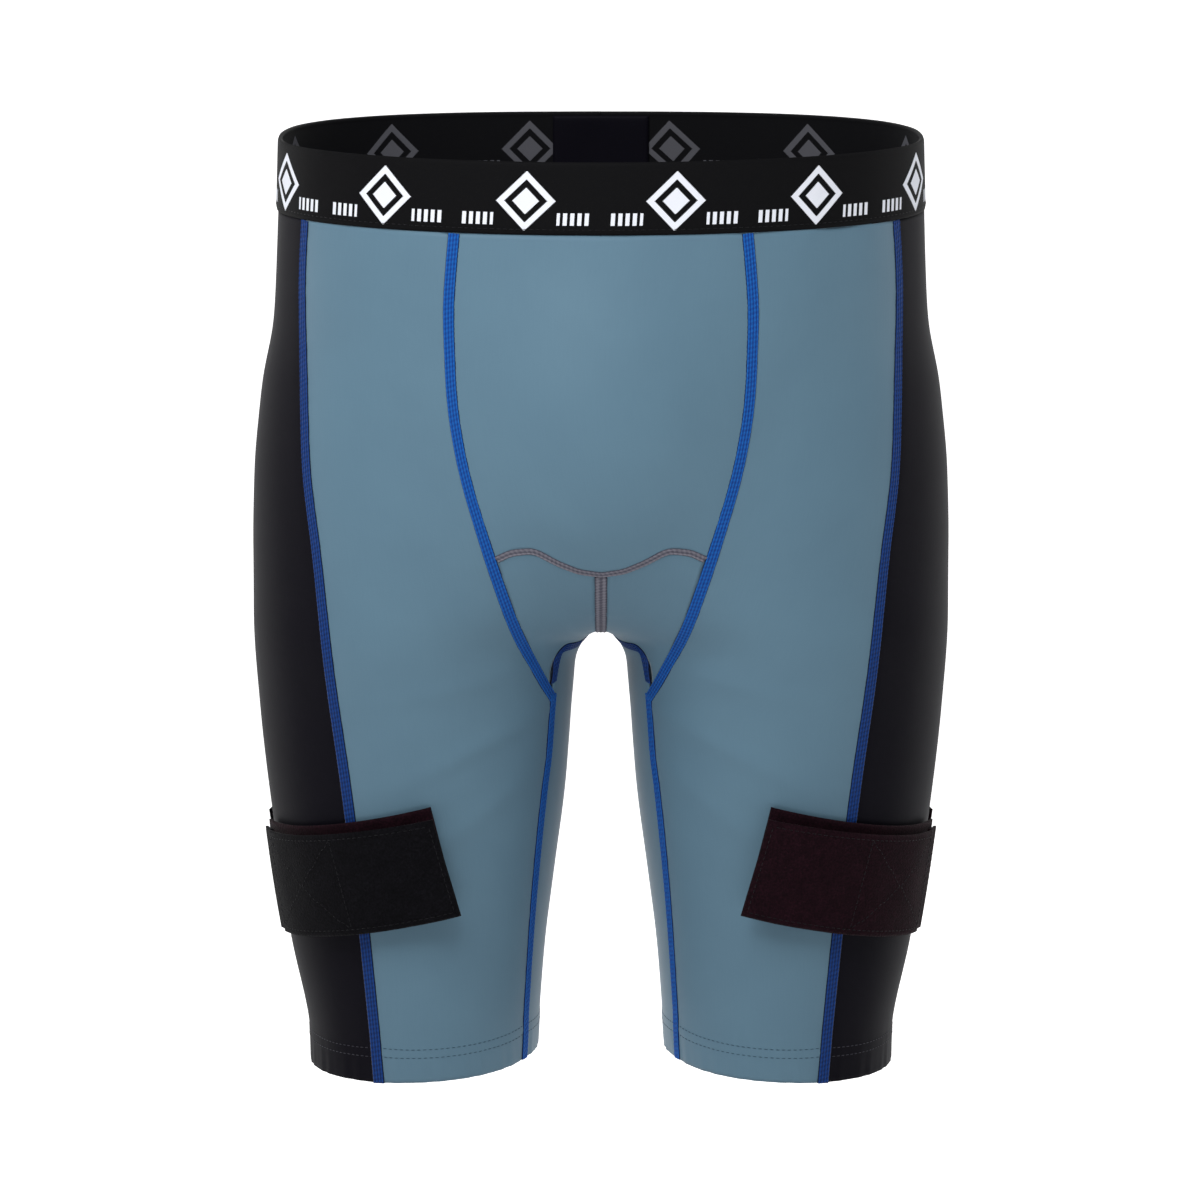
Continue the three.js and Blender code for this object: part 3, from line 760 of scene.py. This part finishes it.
@dataclass(frozen=True)
class DragFold:
    """A low fold that the crotch's pull lays out over the thigh."""

    turn: float  # radians from level, where minus runs down and outward
    drop_mm: float  # how far below the crotch's corner it starts
    depth_mm: float
    corner_mm: tuple[float, float] = (30, -290)  # beside and below the middle of the waist
    middle_mm: float = 45  # from where it starts to where it is deepest
    reach_mm: float = 40
    width_mm: float = 6

    def height(self, x: np.ndarray, z: np.ndarray) -> np.ndarray:
        """Gives the fold's height.

        Args:
            x: how far each point lies beside the middle plane.
            z: the height of each point.

        Returns:
            How far the fold stands out at each point.
        """
        out, up = x - self.corner_mm[0] * MM, z - (self.corner_mm[1] - self.drop_mm) * MM
        along = out * math.cos(self.turn) + up * math.sin(self.turn)
        beside = up * math.cos(self.turn) - out * math.sin(self.turn)
        fade = np.exp(-(((along / MM - self.middle_mm) / self.reach_mm) ** 2))
        return self.depth_mm * MM * fade * np.exp(-((beside / MM / self.width_mm) ** 2))


DRAG_FOLDS = (DragFold(-0.42, 16, 1.1), DragFold(-0.62, 45, 0.8), DragFold(-0.2, -12, 0.7))


@dataclass
class Panel:
    """One cut piece of knit, stretched over the wearer, with its seams drawn in along its edges."""

    node: str
    material: bpy.types.Material
    slot: str
    outward: Vector
    cut: Cut = Cut.SEAMED
    step: float = 2.4 * MM
    draw_in: float = 0.35 * MM  # how far the stitching pulls the knit in
    pucker: float = 0.16 * MM
    band_tuck: float = 0.5 * MM  # soft folds below the elastic
    stretch_across: float = 1.12  # worn size over cut size
    stretch_down: float = 1.06
    seam_reach: float = 5 * MM
    hem_rise: float = 0.45 * MM  # of the turned-up layer
    stitch_dent: float = 0.3 * MM
    hem_wave: float = 0.3 * MM

    def shaped(self, net: Net) -> Net:
        """Draws in the seams, lays the folds and raises the hem.

        Args:
            net: the smooth face.

        Returns:
            The face with its small relief.
        """
        down, up = net.from_top(), net.from_bottom()
        beside = np.minimum(net.from_first_side(), net.from_last_side())
        height = -self.draw_in * np.exp(-((beside / self.seam_reach) ** 2))
        height += self.pucker * ripple(down, 9 * MM, 13 * MM, 21 * MM) * np.exp(-beside / (9 * MM))
        x, z = net.points[..., 0], net.points[..., 2]
        if self.cut is Cut.HEMMED:
            height += self.band_tuck * ripple(x, 34 * MM, 51 * MM) * np.exp(-down / (26 * MM))
            folded = 0.5 - 0.5 * np.tanh((up - HEM_HEIGHT) / (1.4 * MM))
            height += self.hem_rise * folded
            for row in HEM_STITCH_HEIGHTS:
                height -= self.stitch_dent * np.exp(-(((up - row) / (0.9 * MM)) ** 2))
            wave = self.hem_wave * ripple(net.from_first_side(), 8 * MM, 12 * MM)
            height += wave * np.exp(-((up / (14 * MM)) ** 2))
        height += sum(fold.height(np.abs(x), z) for fold in DRAG_FOLDS)
        return net.raised(height)

    def build(self, frame: dict) -> tuple[bpy.types.Object, Net]:
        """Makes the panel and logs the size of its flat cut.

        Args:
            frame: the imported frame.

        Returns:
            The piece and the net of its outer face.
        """
        smooth = FrameFace(frame, self.node).net(Lead.DOWN, self.outward).finer(self.step, self.step)
        net = self.shaped(smooth)
        uv = np.stack([net.from_first_side(), net.from_bottom()], axis=-1)
        piece = cloth(self.node + "_cloth", net, uv, self.material)
        solid = thicken(piece, KNIT_THICKNESS)
        if self.cut is Cut.HEMMED:
            self.double_hem(piece, solid)
        dress(piece, "shorts", self.slot, self.node)
        width = float(net.from_first_side()[:, -1].max()) / self.stretch_across
        length = float(net.from_top()[-1].max()) / self.stretch_down
        area = net.area() / self.stretch_across / self.stretch_down
        area = min(area, width * length)
        log.info("%s: flat %.0f x %.0f mm, %.4f m2", self.node, width / MM, length / MM, area)
        return piece, net

    @staticmethod
    def double_hem(piece: bpy.types.Object, solid: bpy.types.Modifier) -> None:
        """Makes the hem two layers thick with a weight for each vertex.

        Args:
            piece: the panel, whose V is the height above its lower edge.
            solid: the modifier that gives it its thickness.
        """
        solid.thickness = 2 * KNIT_THICKNESS
        group = piece.vertex_groups.new(name="hem")
        heights = {}
        for loop, uv in zip(piece.data.loops, piece.data.uv_layers[0].data):
            heights[loop.vertex_index] = uv.uv[1]
        for index, height in heights.items():
            group.add([index], 1.0 if height < HEM_HEIGHT else 0.5, "REPLACE")
        solid.vertex_group = "hem"


# ---- Seams -----------------------------------------------------------------------------------------


@dataclass
class Flatlock:
    """A flatlock seam: a raised band of parallel threads tied together by a slanting ladder of loops."""

    node: str
    material: bpy.types.Material
    slot: str
    outward: Vector | None
    ridges: int = 4
    proud: float = 0.62 * MM
    ridge_height: float = 0.16 * MM
    ladder_height: float = 0.1 * MM
    spread: float = 1.12  # the band's width over the frame's
    stitch: float = 2.6 * MM
    row_step: float = 0.65 * MM
    columns: int = 17
    buried: float = 0.9 * MM
    squareness: int = 8  # how flat the band's top is before it turns down at its sides
    evened_rows: int = 9  # rows each way over which the lie on the knit is averaged
    run_on: tuple[float, float] = (0.1, 0.1)  # past the frame's strip at its higher and lower ends, in mm

    def build(self, frame: dict, knit: BVHTree) -> bpy.types.Object:
        """Lays the seam's band on the knit.

        Args:
            frame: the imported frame.
            knit: the outer faces of the panels.

        Returns:
            The seam.
        """
        block = FrameFace(frame, self.node).net(Lead.ALONG, self.outward)
        ends = block.points[:, [0, -1]]
        grown = []
        for end, step, reach in zip(ends[[0, -1]], (ends[0] - ends[1], ends[-1] - ends[-2]), self.run_on):
            grown.append(end + step / np.linalg.norm(step, axis=-1, keepdims=True) * reach * MM)
        edges = spline(np.concatenate([grown[:1], ends, grown[1:]]), self.row_step)
        middle = edges.mean(axis=1)
        across = edges[:, 1] - edges[:, 0]
        width = np.linalg.norm(across, axis=-1, keepdims=True)
        across /= width
        along = np.gradient(middle, axis=0)
        outward = np.cross(along, across)
        outward /= np.linalg.norm(outward, axis=-1, keepdims=True)
        drop = self.drops(middle, outward, knit)
        share = np.linspace(0, 1, self.columns)
        travelled = lengths(middle)
        slant = TURN * travelled[:, None] / self.stitch + LADDER_LEAN * share[None]
        height = self.proud * (1 - np.abs(2 * share - 1) ** self.squareness)[None]
        height = height - self.ridge_height * np.cos(TURN * self.ridges * share)[None] * (height > 0)
        height = height + self.ladder_height * np.sin(slant)
        sideways = (share - 0.5)[None, :, None] * (width * self.spread)[:, None] * across[:, None]
        points = (middle + drop[:, None] * outward)[:, None] + sideways + height[..., None] * outward[:, None]
        uv = np.stack(np.broadcast_arrays(share[None], travelled[:, None]), axis=-1)
        piece = cloth(self.node + "_threads", Net(points), uv, self.material)
        thicken(piece, self.buried)
        return dress(piece, "shorts", self.slot, self.node)

    def drops(self, middle: np.ndarray, outward: np.ndarray, knit: BVHTree) -> np.ndarray:
        """Measures how far out the knit lies from the seam's middle, and evens that along the seam.

        Args:
            middle: the points of the seam's middle.
            outward: the outward unit vector at each of them.
            knit: the outer faces of the panels.

        Returns:
            The distance at each point, in metres.
        """
        found = []
        for point, normal in zip(middle, outward):
            near = knit.find_nearest(Vector(point))[0]
            found.append(float((np.array(near) - point) @ normal))
        window = 2 * self.evened_rows + 1
        padded = np.pad(found, self.evened_rows, mode="edge")
        return np.convolve(padded, np.ones(window) / window, mode="valid")


# ---- Small running stitches ------------------------------------------------------------------------


@dataclass
class Stitches:
    """A line of short thread stitches that lie in the knit's surface."""

    name: str
    material: bpy.types.Material
    slot: str
    body: str = "shorts"
    length: float = 2.3 * MM
    gap: float = 0.9 * MM
    thread: float = 0.42 * MM
    showing: float = 0.22  # how far a stitch's middle stands out, as a share of the thread

    def build(self, lines: list[tuple[np.ndarray, np.ndarray]]) -> bpy.types.Object:
        """Sews along every line.

        Args:
            lines: for each line its points in order, and the outward unit vector at each of them.

        Returns:
            One piece that holds all the stitches.
        """
        work = bmesh.new()
        for points, outward in lines:
            travelled = lengths(points)
            pitch = self.length + self.gap
            for start in np.arange(self.gap, travelled[-1] - self.length, pitch):
                ends = [self.at(points, travelled, start + shift) for shift in (0.0, self.length)]
                normal = self.at(outward, travelled, start + self.length / 2)
                self.sew(work, Vector(ends[0]), Vector(ends[1]), Vector(normal))
        mesh = bpy.data.meshes.new(self.name)
        work.to_mesh(mesh)
        work.free()
        mesh.polygons.foreach_set("use_smooth", np.ones(len(mesh.polygons), bool))
        return dress(link(self.name, mesh, self.material), self.body, self.slot)

    @staticmethod
    def at(values: np.ndarray, travelled: np.ndarray, where: float) -> np.ndarray:
        """Reads rows of values at a distance along a line."""
        return np.array([np.interp(where, travelled, values[:, k]) for k in range(3)])

    def sew(self, work: bmesh.types.BMesh, start: Vector, end: Vector, normal: Vector) -> None:
        """Adds one stitch, a small thread bead that dips into the cloth at both ends.

        Args:
            work: the mesh that gathers the stitches.
            start: one end of the stitch on the cloth.
            end: its other end.
            normal: the cloth's outward direction there.
        """
        along = (end - start).normalized()
        side = normal.cross(along).normalized()
        up = along.cross(side)
        turn = Matrix((along, side, up)).transposed().to_4x4()
        size = Matrix.Diagonal((self.length / 2, self.thread / 2, self.thread / 2, 1))
        place = Matrix.Translation((start + end) / 2 + up * self.thread * self.showing)
        bmesh.ops.create_uvsphere(work, u_segments=6, v_segments=4, radius=1, matrix=place @ turn @ size)


# ---- Waistband -------------------------------------------------------------------------------------


@dataclass
class Waistband:
    """The wide woven elastic at the waist, with its motif outside and the floats of it inside."""

    repeats: int = 12
    thickness: float = 2.2 * MM
    step: float = 1.5 * MM
    edge_round: float = 0.6 * MM
    wave: float = 0.12 * MM
    stretch: float = 1.15
    stitch_inset: float = 3.2 * MM

    def build(self, frame: dict, thread: bpy.types.Material) -> list[bpy.types.Object]:
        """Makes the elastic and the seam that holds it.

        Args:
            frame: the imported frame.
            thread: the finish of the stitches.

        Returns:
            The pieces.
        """
        net = FrameFace(frame, "waistband").net(Lead.DOWN, None).finer(self.step, self.step)
        net.points[:, 0] = net.points[:, -1] = (net.points[:, 0] + net.points[:, -1]) / 2
        round_the_waist = float(net.from_first_side()[:, -1].mean())
        down, up = net.from_top(), net.from_bottom()
        rounding = -self.edge_round * np.exp(-np.minimum(down, up) / (0.9 * MM))
        shaped = net.raised(rounding + self.wave * ripple(net.from_first_side(), 37 * MM, 61 * MM))
        uv = np.stack([net.from_first_side() - round_the_waist / 2, down], axis=-1)
        pitch = round_the_waist / self.repeats
        outside = Jacquard("woven_elastic_outside", "#121214", "#e8ebf4", pitch)
        inside = Jacquard("woven_elastic_inside", "#17171a", "#58585e", pitch)
        band = cloth("waistband_elastic", shaped, uv, outside.make(), inside.make())
        thicken(band, self.thickness, inside=1)
        dress(band, "shorts", "waist_elastic", "waistband")
        row = int(np.argmin(np.abs(up.mean(axis=1) - self.stitch_inset)))
        sewing = Stitches("waistband_stitches", thread, "waist_elastic", length=2.6 * MM, thread=0.36 * MM)
        return [band, sewing.build([(shaped.points[row], shaped.normals()[row])])]


# ---- Sock tabs -------------------------------------------------------------------------------------


@dataclass
class TapePiece:
    """One layer of a sock tab: a woven tape, a loop pad or a hook pad, with rounded edges."""

    node: str
    body: str
    material: bpy.types.Material
    slot: str
    outward: Vector
    thickness: float = 1.5 * MM
    step: float = 1.6 * MM
    edge_round: float = 0.5 * MM
    wave: float = 0.25 * MM
    lies_on: str = ""  # the node under a layer that is cut as a rectangle, or nothing for a scrap

    def build(self, frame: dict) -> tuple[bpy.types.Object, Net]:
        """Makes the layer from its block in the frame.

        Args:
            frame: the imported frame.

        Returns:
            The piece and its outer face.
        """
        net = FrameFace(frame, self.node).net(Lead.DOWN, self.outward).finer(self.step, self.step)
        sides = [net.from_top(), net.from_bottom(), net.from_first_side(), net.from_last_side()]
        edge = np.minimum.reduce(sides)
        height = -self.edge_round * np.exp(-edge / (0.8 * MM))
        waves = ripple(net.from_first_side(), 31 * MM, 47 * MM) * ripple(net.from_top(), 90 * MM)
        height += self.wave * waves
        shaped = net.raised(height)
        uv = np.stack([net.from_first_side(), net.from_top()], axis=-1)
        piece = cloth(self.node + "_tape", shaped, uv, self.material)
        thicken(piece, self.thickness)
        dress(piece, self.body, self.slot, self.node)
        if self.lies_on:
            flat = (float(sides[2][:, -1].mean()), float(sides[0][-1].mean()))
            area = min(net.area(), flat[0] * flat[1])
        return piece, shaped


@dataclass
class SockTab:
    """A sock tab: a base sewn to the short, and a flap on it that opens round its sewn end."""

    place: str
    side: str
    outward: Vector
    base: bpy.types.Material
    flap: bpy.types.Material
    hooks: bpy.types.Material
    thread: bpy.types.Material
    tape: float = 1.5 * MM
    hook_backing: float = 1.1 * MM
    stitch: float = 2.4 * MM
    inset: float = 4 * MM
    box_share: float = 0.5  # how much of the flap the crossed box of stitches takes

    def build(self, frame: dict) -> list[bpy.types.Object]:
        """Makes the four layers and their stitching.

        Args:
            frame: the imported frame.

        Returns:
            The pieces.
        """
        body = f"{self.place}_tab_{self.side}"
        pieces, nets = [], {}
        for layer, rides_on, finish, slot, thickness, lies_on in (
            ("base", "shorts", self.base, "loop_pile", self.tape, f"side_panel_{self.side}"),
            ("sewn_end", "shorts", self.flap, "loop_pile", self.tape, ""),
            ("flap", body, self.flap, "tab_webbing", self.tape, f"{self.place}_tab_base_{self.side}"),
            ("hook", body, self.hooks, "hook_tape", self.hook_backing, ""),
        ):
            node = f"{self.place}_tab_{layer}_{self.side}"
            tape = TapePiece(node, rides_on, finish, slot, self.outward, thickness, lies_on=lies_on)
            piece, nets[layer] = tape.build(frame)
            pieces.append(piece)
        for where, rides_on, thread, lines in (
            ("end", "shorts", 0.45 * MM, self.columns(nets["sewn_end"])),
            ("edge", body, 0.4 * MM, self.frame_of(nets["flap"])),
        ):
            name = f"{body}_{where}_stitches"
            row = Stitches(name, self.thread, "tab_webbing", rides_on, length=self.stitch, thread=thread)
            pieces.append(row.build(lines))
        return pieces

    @staticmethod
    def columns(net: Net) -> list[tuple[np.ndarray, np.ndarray]]:
        """Gives two lines of stitching down a sewn end."""
        normals, width = net.normals(), net.points.shape[1]
        return [(net.points[:, at], normals[:, at]) for at in (width // 4, (3 * width) // 4)]

    def frame_of(self, net: Net) -> list[tuple[np.ndarray, np.ndarray]]:
        """Gives the stitching of a flap: a line just inside its edges, and a crossed box at its fold.

        Args:
            net: the flap's outer face.

        Returns:
            For each line its points, and the outward unit vector at each of them.
        """
        normals = net.normals()
        row = round(self.inset / float(net.from_top()[1].mean()))
        column = round(self.inset / float(net.from_first_side()[:, 1].mean()))
        low, high = row, net.points.shape[0] - 1 - row
        first, last = column, net.points.shape[1] - 1 - column
        fold_is_first = abs(net.points[0, 0, 0]) > abs(net.points[0, -1, 0])
        reach = round((last - first) * self.box_share) * (1 if fold_is_first else -1)
        fold, end = (first, last) if fold_is_first else (last, first)
        box = fold + reach
        along = [((row, fold), (row, end)) for row in (low, high)]
        down = [((low, column), (high, column)) for column in (fold, end, box)]
        crossed = [((low, fold), (high, box)), ((high, fold), (low, box))]
        lines = []
        for start, stop in along + down + crossed:
            count = max(abs(a - b) for a, b in zip(start, stop)) + 1
            rows, columns = [np.rint(np.linspace(a, b, count)).astype(int) for a, b in zip(start, stop)]
            lines.append((net.points[rows, columns], normals[rows, columns]))
        return lines


# ---- Cup and its pocket ----------------------------------------------------------------------------


@dataclass
class Cup:
    """The removable protective cup: a moulded bowl with a soft edge, in a pocket behind the pouch."""

    levels: int = 2
    flat_enough: float = 0.7  # radians within which two triangles are joined into a square face
    pad_fill: float = 0.9

    def smooth_copy(
        self, frame: dict, node: str, name: str, material: bpy.types.Material
    ) -> bpy.types.Object:
        """Copies a round CAD solid and smooths it.

        Args:
            frame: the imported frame.
            node: the solid's name.
            name: the new piece's name.
            material: its finish.

        Returns:
            The smooth piece.
        """
        work = bmesh.new()
        work.from_mesh(frame["nodes"][node].data)
        bmesh.ops.remove_doubles(work, verts=work.verts, dist=FrameFace.MERGE)
        limits = {"angle_face_threshold": self.flat_enough, "angle_shape_threshold": self.flat_enough}
        bmesh.ops.join_triangles(work, faces=work.faces, **limits)
        mesh = bpy.data.meshes.new(name)
        work.to_mesh(mesh)
        work.free()
        mesh.polygons.foreach_set("use_smooth", np.ones(len(mesh.polygons), bool))
        piece = link(name, mesh, material)
        rounding = piece.modifiers.new("rounding", "SUBSURF")
        rounding.levels = rounding.render_levels = self.levels
        return piece

    def build(self, frame: dict) -> list[bpy.types.Object]:
        """Makes the bowl and its edge pad.

        Args:
            frame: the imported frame.

        Returns:
            The two pieces.
        """
        plastic = Moulded("white_polypropylene", "#dcdee0", "#cfd1d3", 0.35).make()
        rubber = Moulded("soft_black_elastomer", "#26272c", "#303137", 0.7).make()
        bowl = self.smooth_copy(frame, "cup_shell", "cup_bowl", plastic)
        dress(bowl, "cup", "cup_plastic", "cup_shell")
        pad = self.smooth_copy(frame, "cup_edge_pad", "cup_soft_edge", rubber)
        dress(pad, "cup", "cup_rubber", "cup_edge_pad")
        return [bowl, pad]


# ---- The whole pair of shorts ----------------------------------------------------------------------


@dataclass
class Shorts:
    """All the pieces of the shorts, in the order that they are made."""

    frame: dict
    shortest_leg: float = 300 * MM  # a panel longer than this reaches the hem
    faces: list[Net] = field(default_factory=list)
    pieces: list[bpy.types.Object] = field(default_factory=list)

    def __post_init__(self) -> None:
        """Makes the finishes."""
        self.slate = Knit("slate_warp_knit", "#577486", "#4a677b", "#648799").make()
        black = Knit("black_warp_knit", "#0a0910", "#07060b", "#15131e", sheen=0.012, specular=0.05)
        self.black = black.make()
        self.mesh_knit = Knit("white_lining_knit", "#8b9aa5", "#7d8b96", "#9fadb7").make()
        # each thread's second colour is painted shade in its grooves, and its third is painted shade along
        # its edges
        self.royal = Thread("royal_blue_thread", "#105cac", "#0a367f", "#0a1d4a", 4).make()
        self.deep = Thread("deep_blue_thread", "#0b3a80", "#07214f", "#050d26", 4).make()
        self.grey = Thread("grey_thread", "#77757f", "#4c4b57", "#3c3b46", 2).make()
        self.dash = Thread("dark_teal_thread", "#3d5a6a", "#30495a", "#30495a", 1).make()
        self.pale_dash = Thread("pale_grey_thread", "#585860", "#3a3a42", "#3a3a42", 1).make()
        self.black_thread = Thread("black_thread", "#2c2b32", "#141418", "#141418", 1).make()
        # each pile's second colour is a painted highlight on its raised fibres
        self.black_pile = Pile("black_loop_pile", "#050506", "#17161b").make()
        self.maroon_pile = Pile("dark_loop_pile", "#0b0508", "#2b141d").make()
        self.hooks = Pile("black_hook_tape", "#0a0a0c", "#2c2c31", 1.6, 0.8).make()

    def panels(self) -> None:
        """Makes the nine knit panels."""
        for side, away in zip(SIDES, (LEFT, RIGHT)):
            for name, finish, slot, outward in (
                ("front_thigh_panel", self.slate, "slate_knit", FRONT),
                ("side_panel", self.black, "black_knit", away),
                ("back_panel", self.slate, "slate_knit", BACK),
            ):
                self.add_panel(Panel(f"{name}_{side}", finish, slot, outward, Cut.HEMMED))
            self.add_panel(Panel(f"pouch_lower_panel_{side}", self.slate, "slate_knit", FRONT))
        self.add_panel(Panel("pouch_upper_panel", self.slate, "slate_knit", FRONT))

    def add_panel(self, panel: Panel) -> None:
        """Builds one panel and keeps its face for the seams to lie on.

        Args:
            panel: the panel's node, finish and cut.
        """
        piece, net = panel.build(self.frame)
        self.pieces.append(piece)
        self.faces.append(net)

    def knit_tree(self) -> BVHTree:
        """Gathers the panels' outer faces.

        Returns:
            A tree that finds the nearest point on them.
        """
        corners, cells, start = [], [], 0
        for net in self.faces:
            rows, columns = net.points.shape[:2]
            corners.extend(map(tuple, net.points.reshape(-1, 3)))
            first = (np.arange(rows - 1)[:, None] * columns + np.arange(columns - 1)[None] + start).ravel()
            cells.extend(zip(first, first + 1, first + columns + 1, first + columns))
            start += rows * columns
        return BVHTree.FromPolygons(corners, [tuple(map(int, cell)) for cell in cells])

    def seams(self) -> None:
        """Lays every flatlock seam on the knit."""
        knit = self.knit_tree()
        for side, away in zip(SIDES, (LEFT, RIGHT)):
            for name, finish, outward, run_on in (
                ("pouch_seam", self.royal, FRONT, (0.1, 1.5)),
                ("inseam", self.royal, -away, (4.5, 0.1)),
                ("side_seam_front", self.deep, FRONT, (0.1, 0.1)),
                ("side_seam_back", self.deep, BACK, (0.1, 0.1)),
                ("crotch_seam", self.deep, DOWNWARD, (8.0, 10.0)),
            ):
                seam = Flatlock(f"{name}_{side}", finish, "royal_thread", outward, run_on=run_on)
                self.pieces.append(seam.build(self.frame, knit))
        self.pieces.append(Flatlock("seat_seam", self.deep, "royal_thread", BACK).build(self.frame, knit))
        for name, run_on in (("pocket_seam", (2.5, 2.5)), ("pouch_centre_seam", (5.0, 2.0))):
            seam = Flatlock(
                name, self.grey, "grey_thread", FRONT, ridges=3, proud=0.4 * MM, stitch=2 * MM, run_on=run_on
            )
            self.pieces.append(seam.build(self.frame, knit))

    def hem_stitches(self) -> None:
        """Sews the two needle lines round each hem, pale on the black panels and dark on the slate ones."""
        lines = {"slate": [], "black": []}
        for piece, net in zip(self.pieces, self.faces):
            if net.from_top()[-1].max() < self.shortest_leg:
                continue
            kind = "black" if piece.name.startswith("side") else "slate"
            up, normals = net.from_bottom().mean(axis=1), net.normals()
            for height in HEM_STITCH_HEIGHTS:
                row = int(np.argmin(np.abs(up - height)))
                lines[kind].append((net.points[row], normals[row]))
        self.pieces.append(Stitches("hem_stitches_slate", self.dash, "slate_knit").build(lines["slate"]))
        self.pieces.append(Stitches("hem_stitches_black", self.pale_dash, "black_knit").build(lines["black"]))

    def tabs(self) -> None:
        """Makes the four sock tabs."""
        for side, flap in zip(SIDES, (self.maroon_pile, self.black_pile)):
            for place, outward in (("front", FRONT), ("rear", BACK)):
                tab = SockTab(place, side, outward, self.maroon_pile, flap, self.hooks, self.black_thread)
                self.pieces.extend(tab.build(self.frame))

    def pocket(self) -> None:
        """Makes the cup's pocket, the patch over the elastic's join, and the cup."""
        for node, finish, slot, thickness, step, lies_on in (
            ("cup_pocket_liner", self.mesh_knit, "slate_knit", KNIT_THICKNESS, 2.4 * MM, "pouch_upper_panel"),
            ("pocket_mouth_binding", self.black, "black_knit", 2 * MM, 1.6 * MM, ""),
            ("waistband_join", self.black, "black_knit", 1 * MM, 1.6 * MM, ""),
        ):
            tape = TapePiece(node, "shorts", finish, slot, FRONT, thickness, step, lies_on=lies_on)
            self.pieces.append(tape.build(self.frame)[0])
        self.pieces.extend(Cup().build(self.frame))

    def build(self) -> None:
        """Makes every piece."""
        self.panels()
        self.hem_stitches()
        self.seams()
        self.pieces.extend(Waistband().build(self.frame, self.black_thread))
        self.tabs()
        self.pocket()


# ---- Stage -----------------------------------------------------------------------------------------


@dataclass(frozen=True)
class Lamp:
    """One square soft light."""

    name: str
    place: tuple[float, float, float]
    size: float
    power: float


@dataclass
class Studio:
    """A white sweep whose far part glows with painted light, soft light from all round, and a camera a little
    above the waist.
    """

    target: Vector = field(default_factory=lambda: Vector((-0.0005, 0.0, -0.256)))
    distance: float = 3.9
    elevation: float = math.radians(10.5)
    seen_width: float = 0.66
    sensor_mm: float = 36.0
    floor_drop: float = 1.2
    ambient: float = 0.24
    glow: float = 0.8  # emission strength of the far floor and wall, a painted glow that no lamp gives
    glow_starts: float = 0.9  # from the shorts, in metres
    glow_full: float = 2.1
    floor_reach: float = 8.0
    wall_starts: float = 3.0  # behind the shorts, in metres
    wall_curve: float = 0.6
    lamps: tuple[Lamp, ...] = (
        Lamp("key", (-0.32, -0.97, 0.85), 0.9, 18),
        Lamp("left_rim", (-2.0, 1.1, 0.3), 1.2, 9),
        Lamp("right_rim", (2.0, 1.1, 0.3), 1.2, 9),
    )

    def camera(self) -> None:
        """Places the camera."""
        data = bpy.data.cameras.new("camera")
        data.sensor_width = self.sensor_mm
        data.lens = self.sensor_mm * self.distance / self.seen_width
        data.clip_end = 50
        item = bpy.data.objects.new("camera", data)
        bpy.context.scene.collection.objects.link(item)
        back = Vector((0, -math.cos(self.elevation), math.sin(self.elevation)))
        item.location = self.target + back * self.distance
        item.rotation_euler = (-back).to_track_quat("-Z", "Y").to_euler()
        bpy.context.scene.camera = item

    def light(self, lamp: Lamp) -> None:
        """Adds one soft light that faces the shorts.

        Args:
            lamp: its name, place, size and power.
        """
        data = bpy.data.lights.new(lamp.name, "AREA")
        data.size = lamp.size
        data.energy = lamp.power
        item = bpy.data.objects.new(lamp.name, data)
        bpy.context.scene.collection.objects.link(item)
        item.location = lamp.place
        item.rotation_euler = (self.target - Vector(lamp.place)).to_track_quat("-Z", "Y").to_euler()

    def sweep(self) -> None:
        """Makes the pale floor, which curves up into a wall behind, and paints a glow on its far part."""
        work = bmesh.new()
        bmesh.ops.create_grid(work, x_segments=2, y_segments=40, size=self.floor_reach)
        for vertex in work.verts:
            rise = max(0.0, vertex.co.y - self.wall_starts)
            vertex.co.z = -self.floor_drop + rise * rise * self.wall_curve
        mesh = bpy.data.meshes.new("floor")
        work.to_mesh(mesh)
        work.free()
        shader = Shader("white_floor_with_painted_glow", roughness=0.9, specular=0.1)
        where = shader.place("Object")
        tone = shader.noise(where, 900.0)
        x, y, _ = shader.parts(where)
        # painted glow: the floor's emission grows from nothing near the shorts to full further away
        away = shader.maths("SQRT", shader.maths("MULTIPLY_ADD", x, x, shader.maths("MULTIPLY", y, y)))
        links = {0: away, 1: self.glow_starts, 2: self.glow_full, 3: 0.0, 4: self.glow}
        lit = add_node(shader.tree, "ShaderNodeMapRange", links, interpolation_type="SMOOTHSTEP").outputs[0]
        shader.surface.inputs["Emission Color"].default_value = linear("#ffffff")
        shader.tree.links.new(lit, shader.surface.inputs["Emission Strength"])
        floor = link("floor", mesh, shader.colour(shader.mixed(tone, linear("#fafafa"), linear("#ffffff"))))

    def build(self) -> None:
        """Sets the stage, the lights and the camera."""
        self.sweep()
        self.camera()
        world = bpy.data.worlds.new("white_room")
        world.use_nodes = True
        background = world.node_tree.nodes["Background"]
        background.inputs["Color"].default_value = linear("#ffffff")
        background.inputs["Strength"].default_value = self.ambient
        bpy.context.scene.world = world
        bpy.context.scene.view_settings.view_transform = "Standard"
        for lamp in self.lamps:
            self.light(lamp)


def main() -> None:
    """Builds the stage and the shorts round the frame."""
    logging.basicConfig(level=logging.INFO, format="%(name)s: %(message)s", stream=sys.stdout)
    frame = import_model()
    Studio().build()
    Shorts(frame).build()


if __name__ == "__main__":
    main()
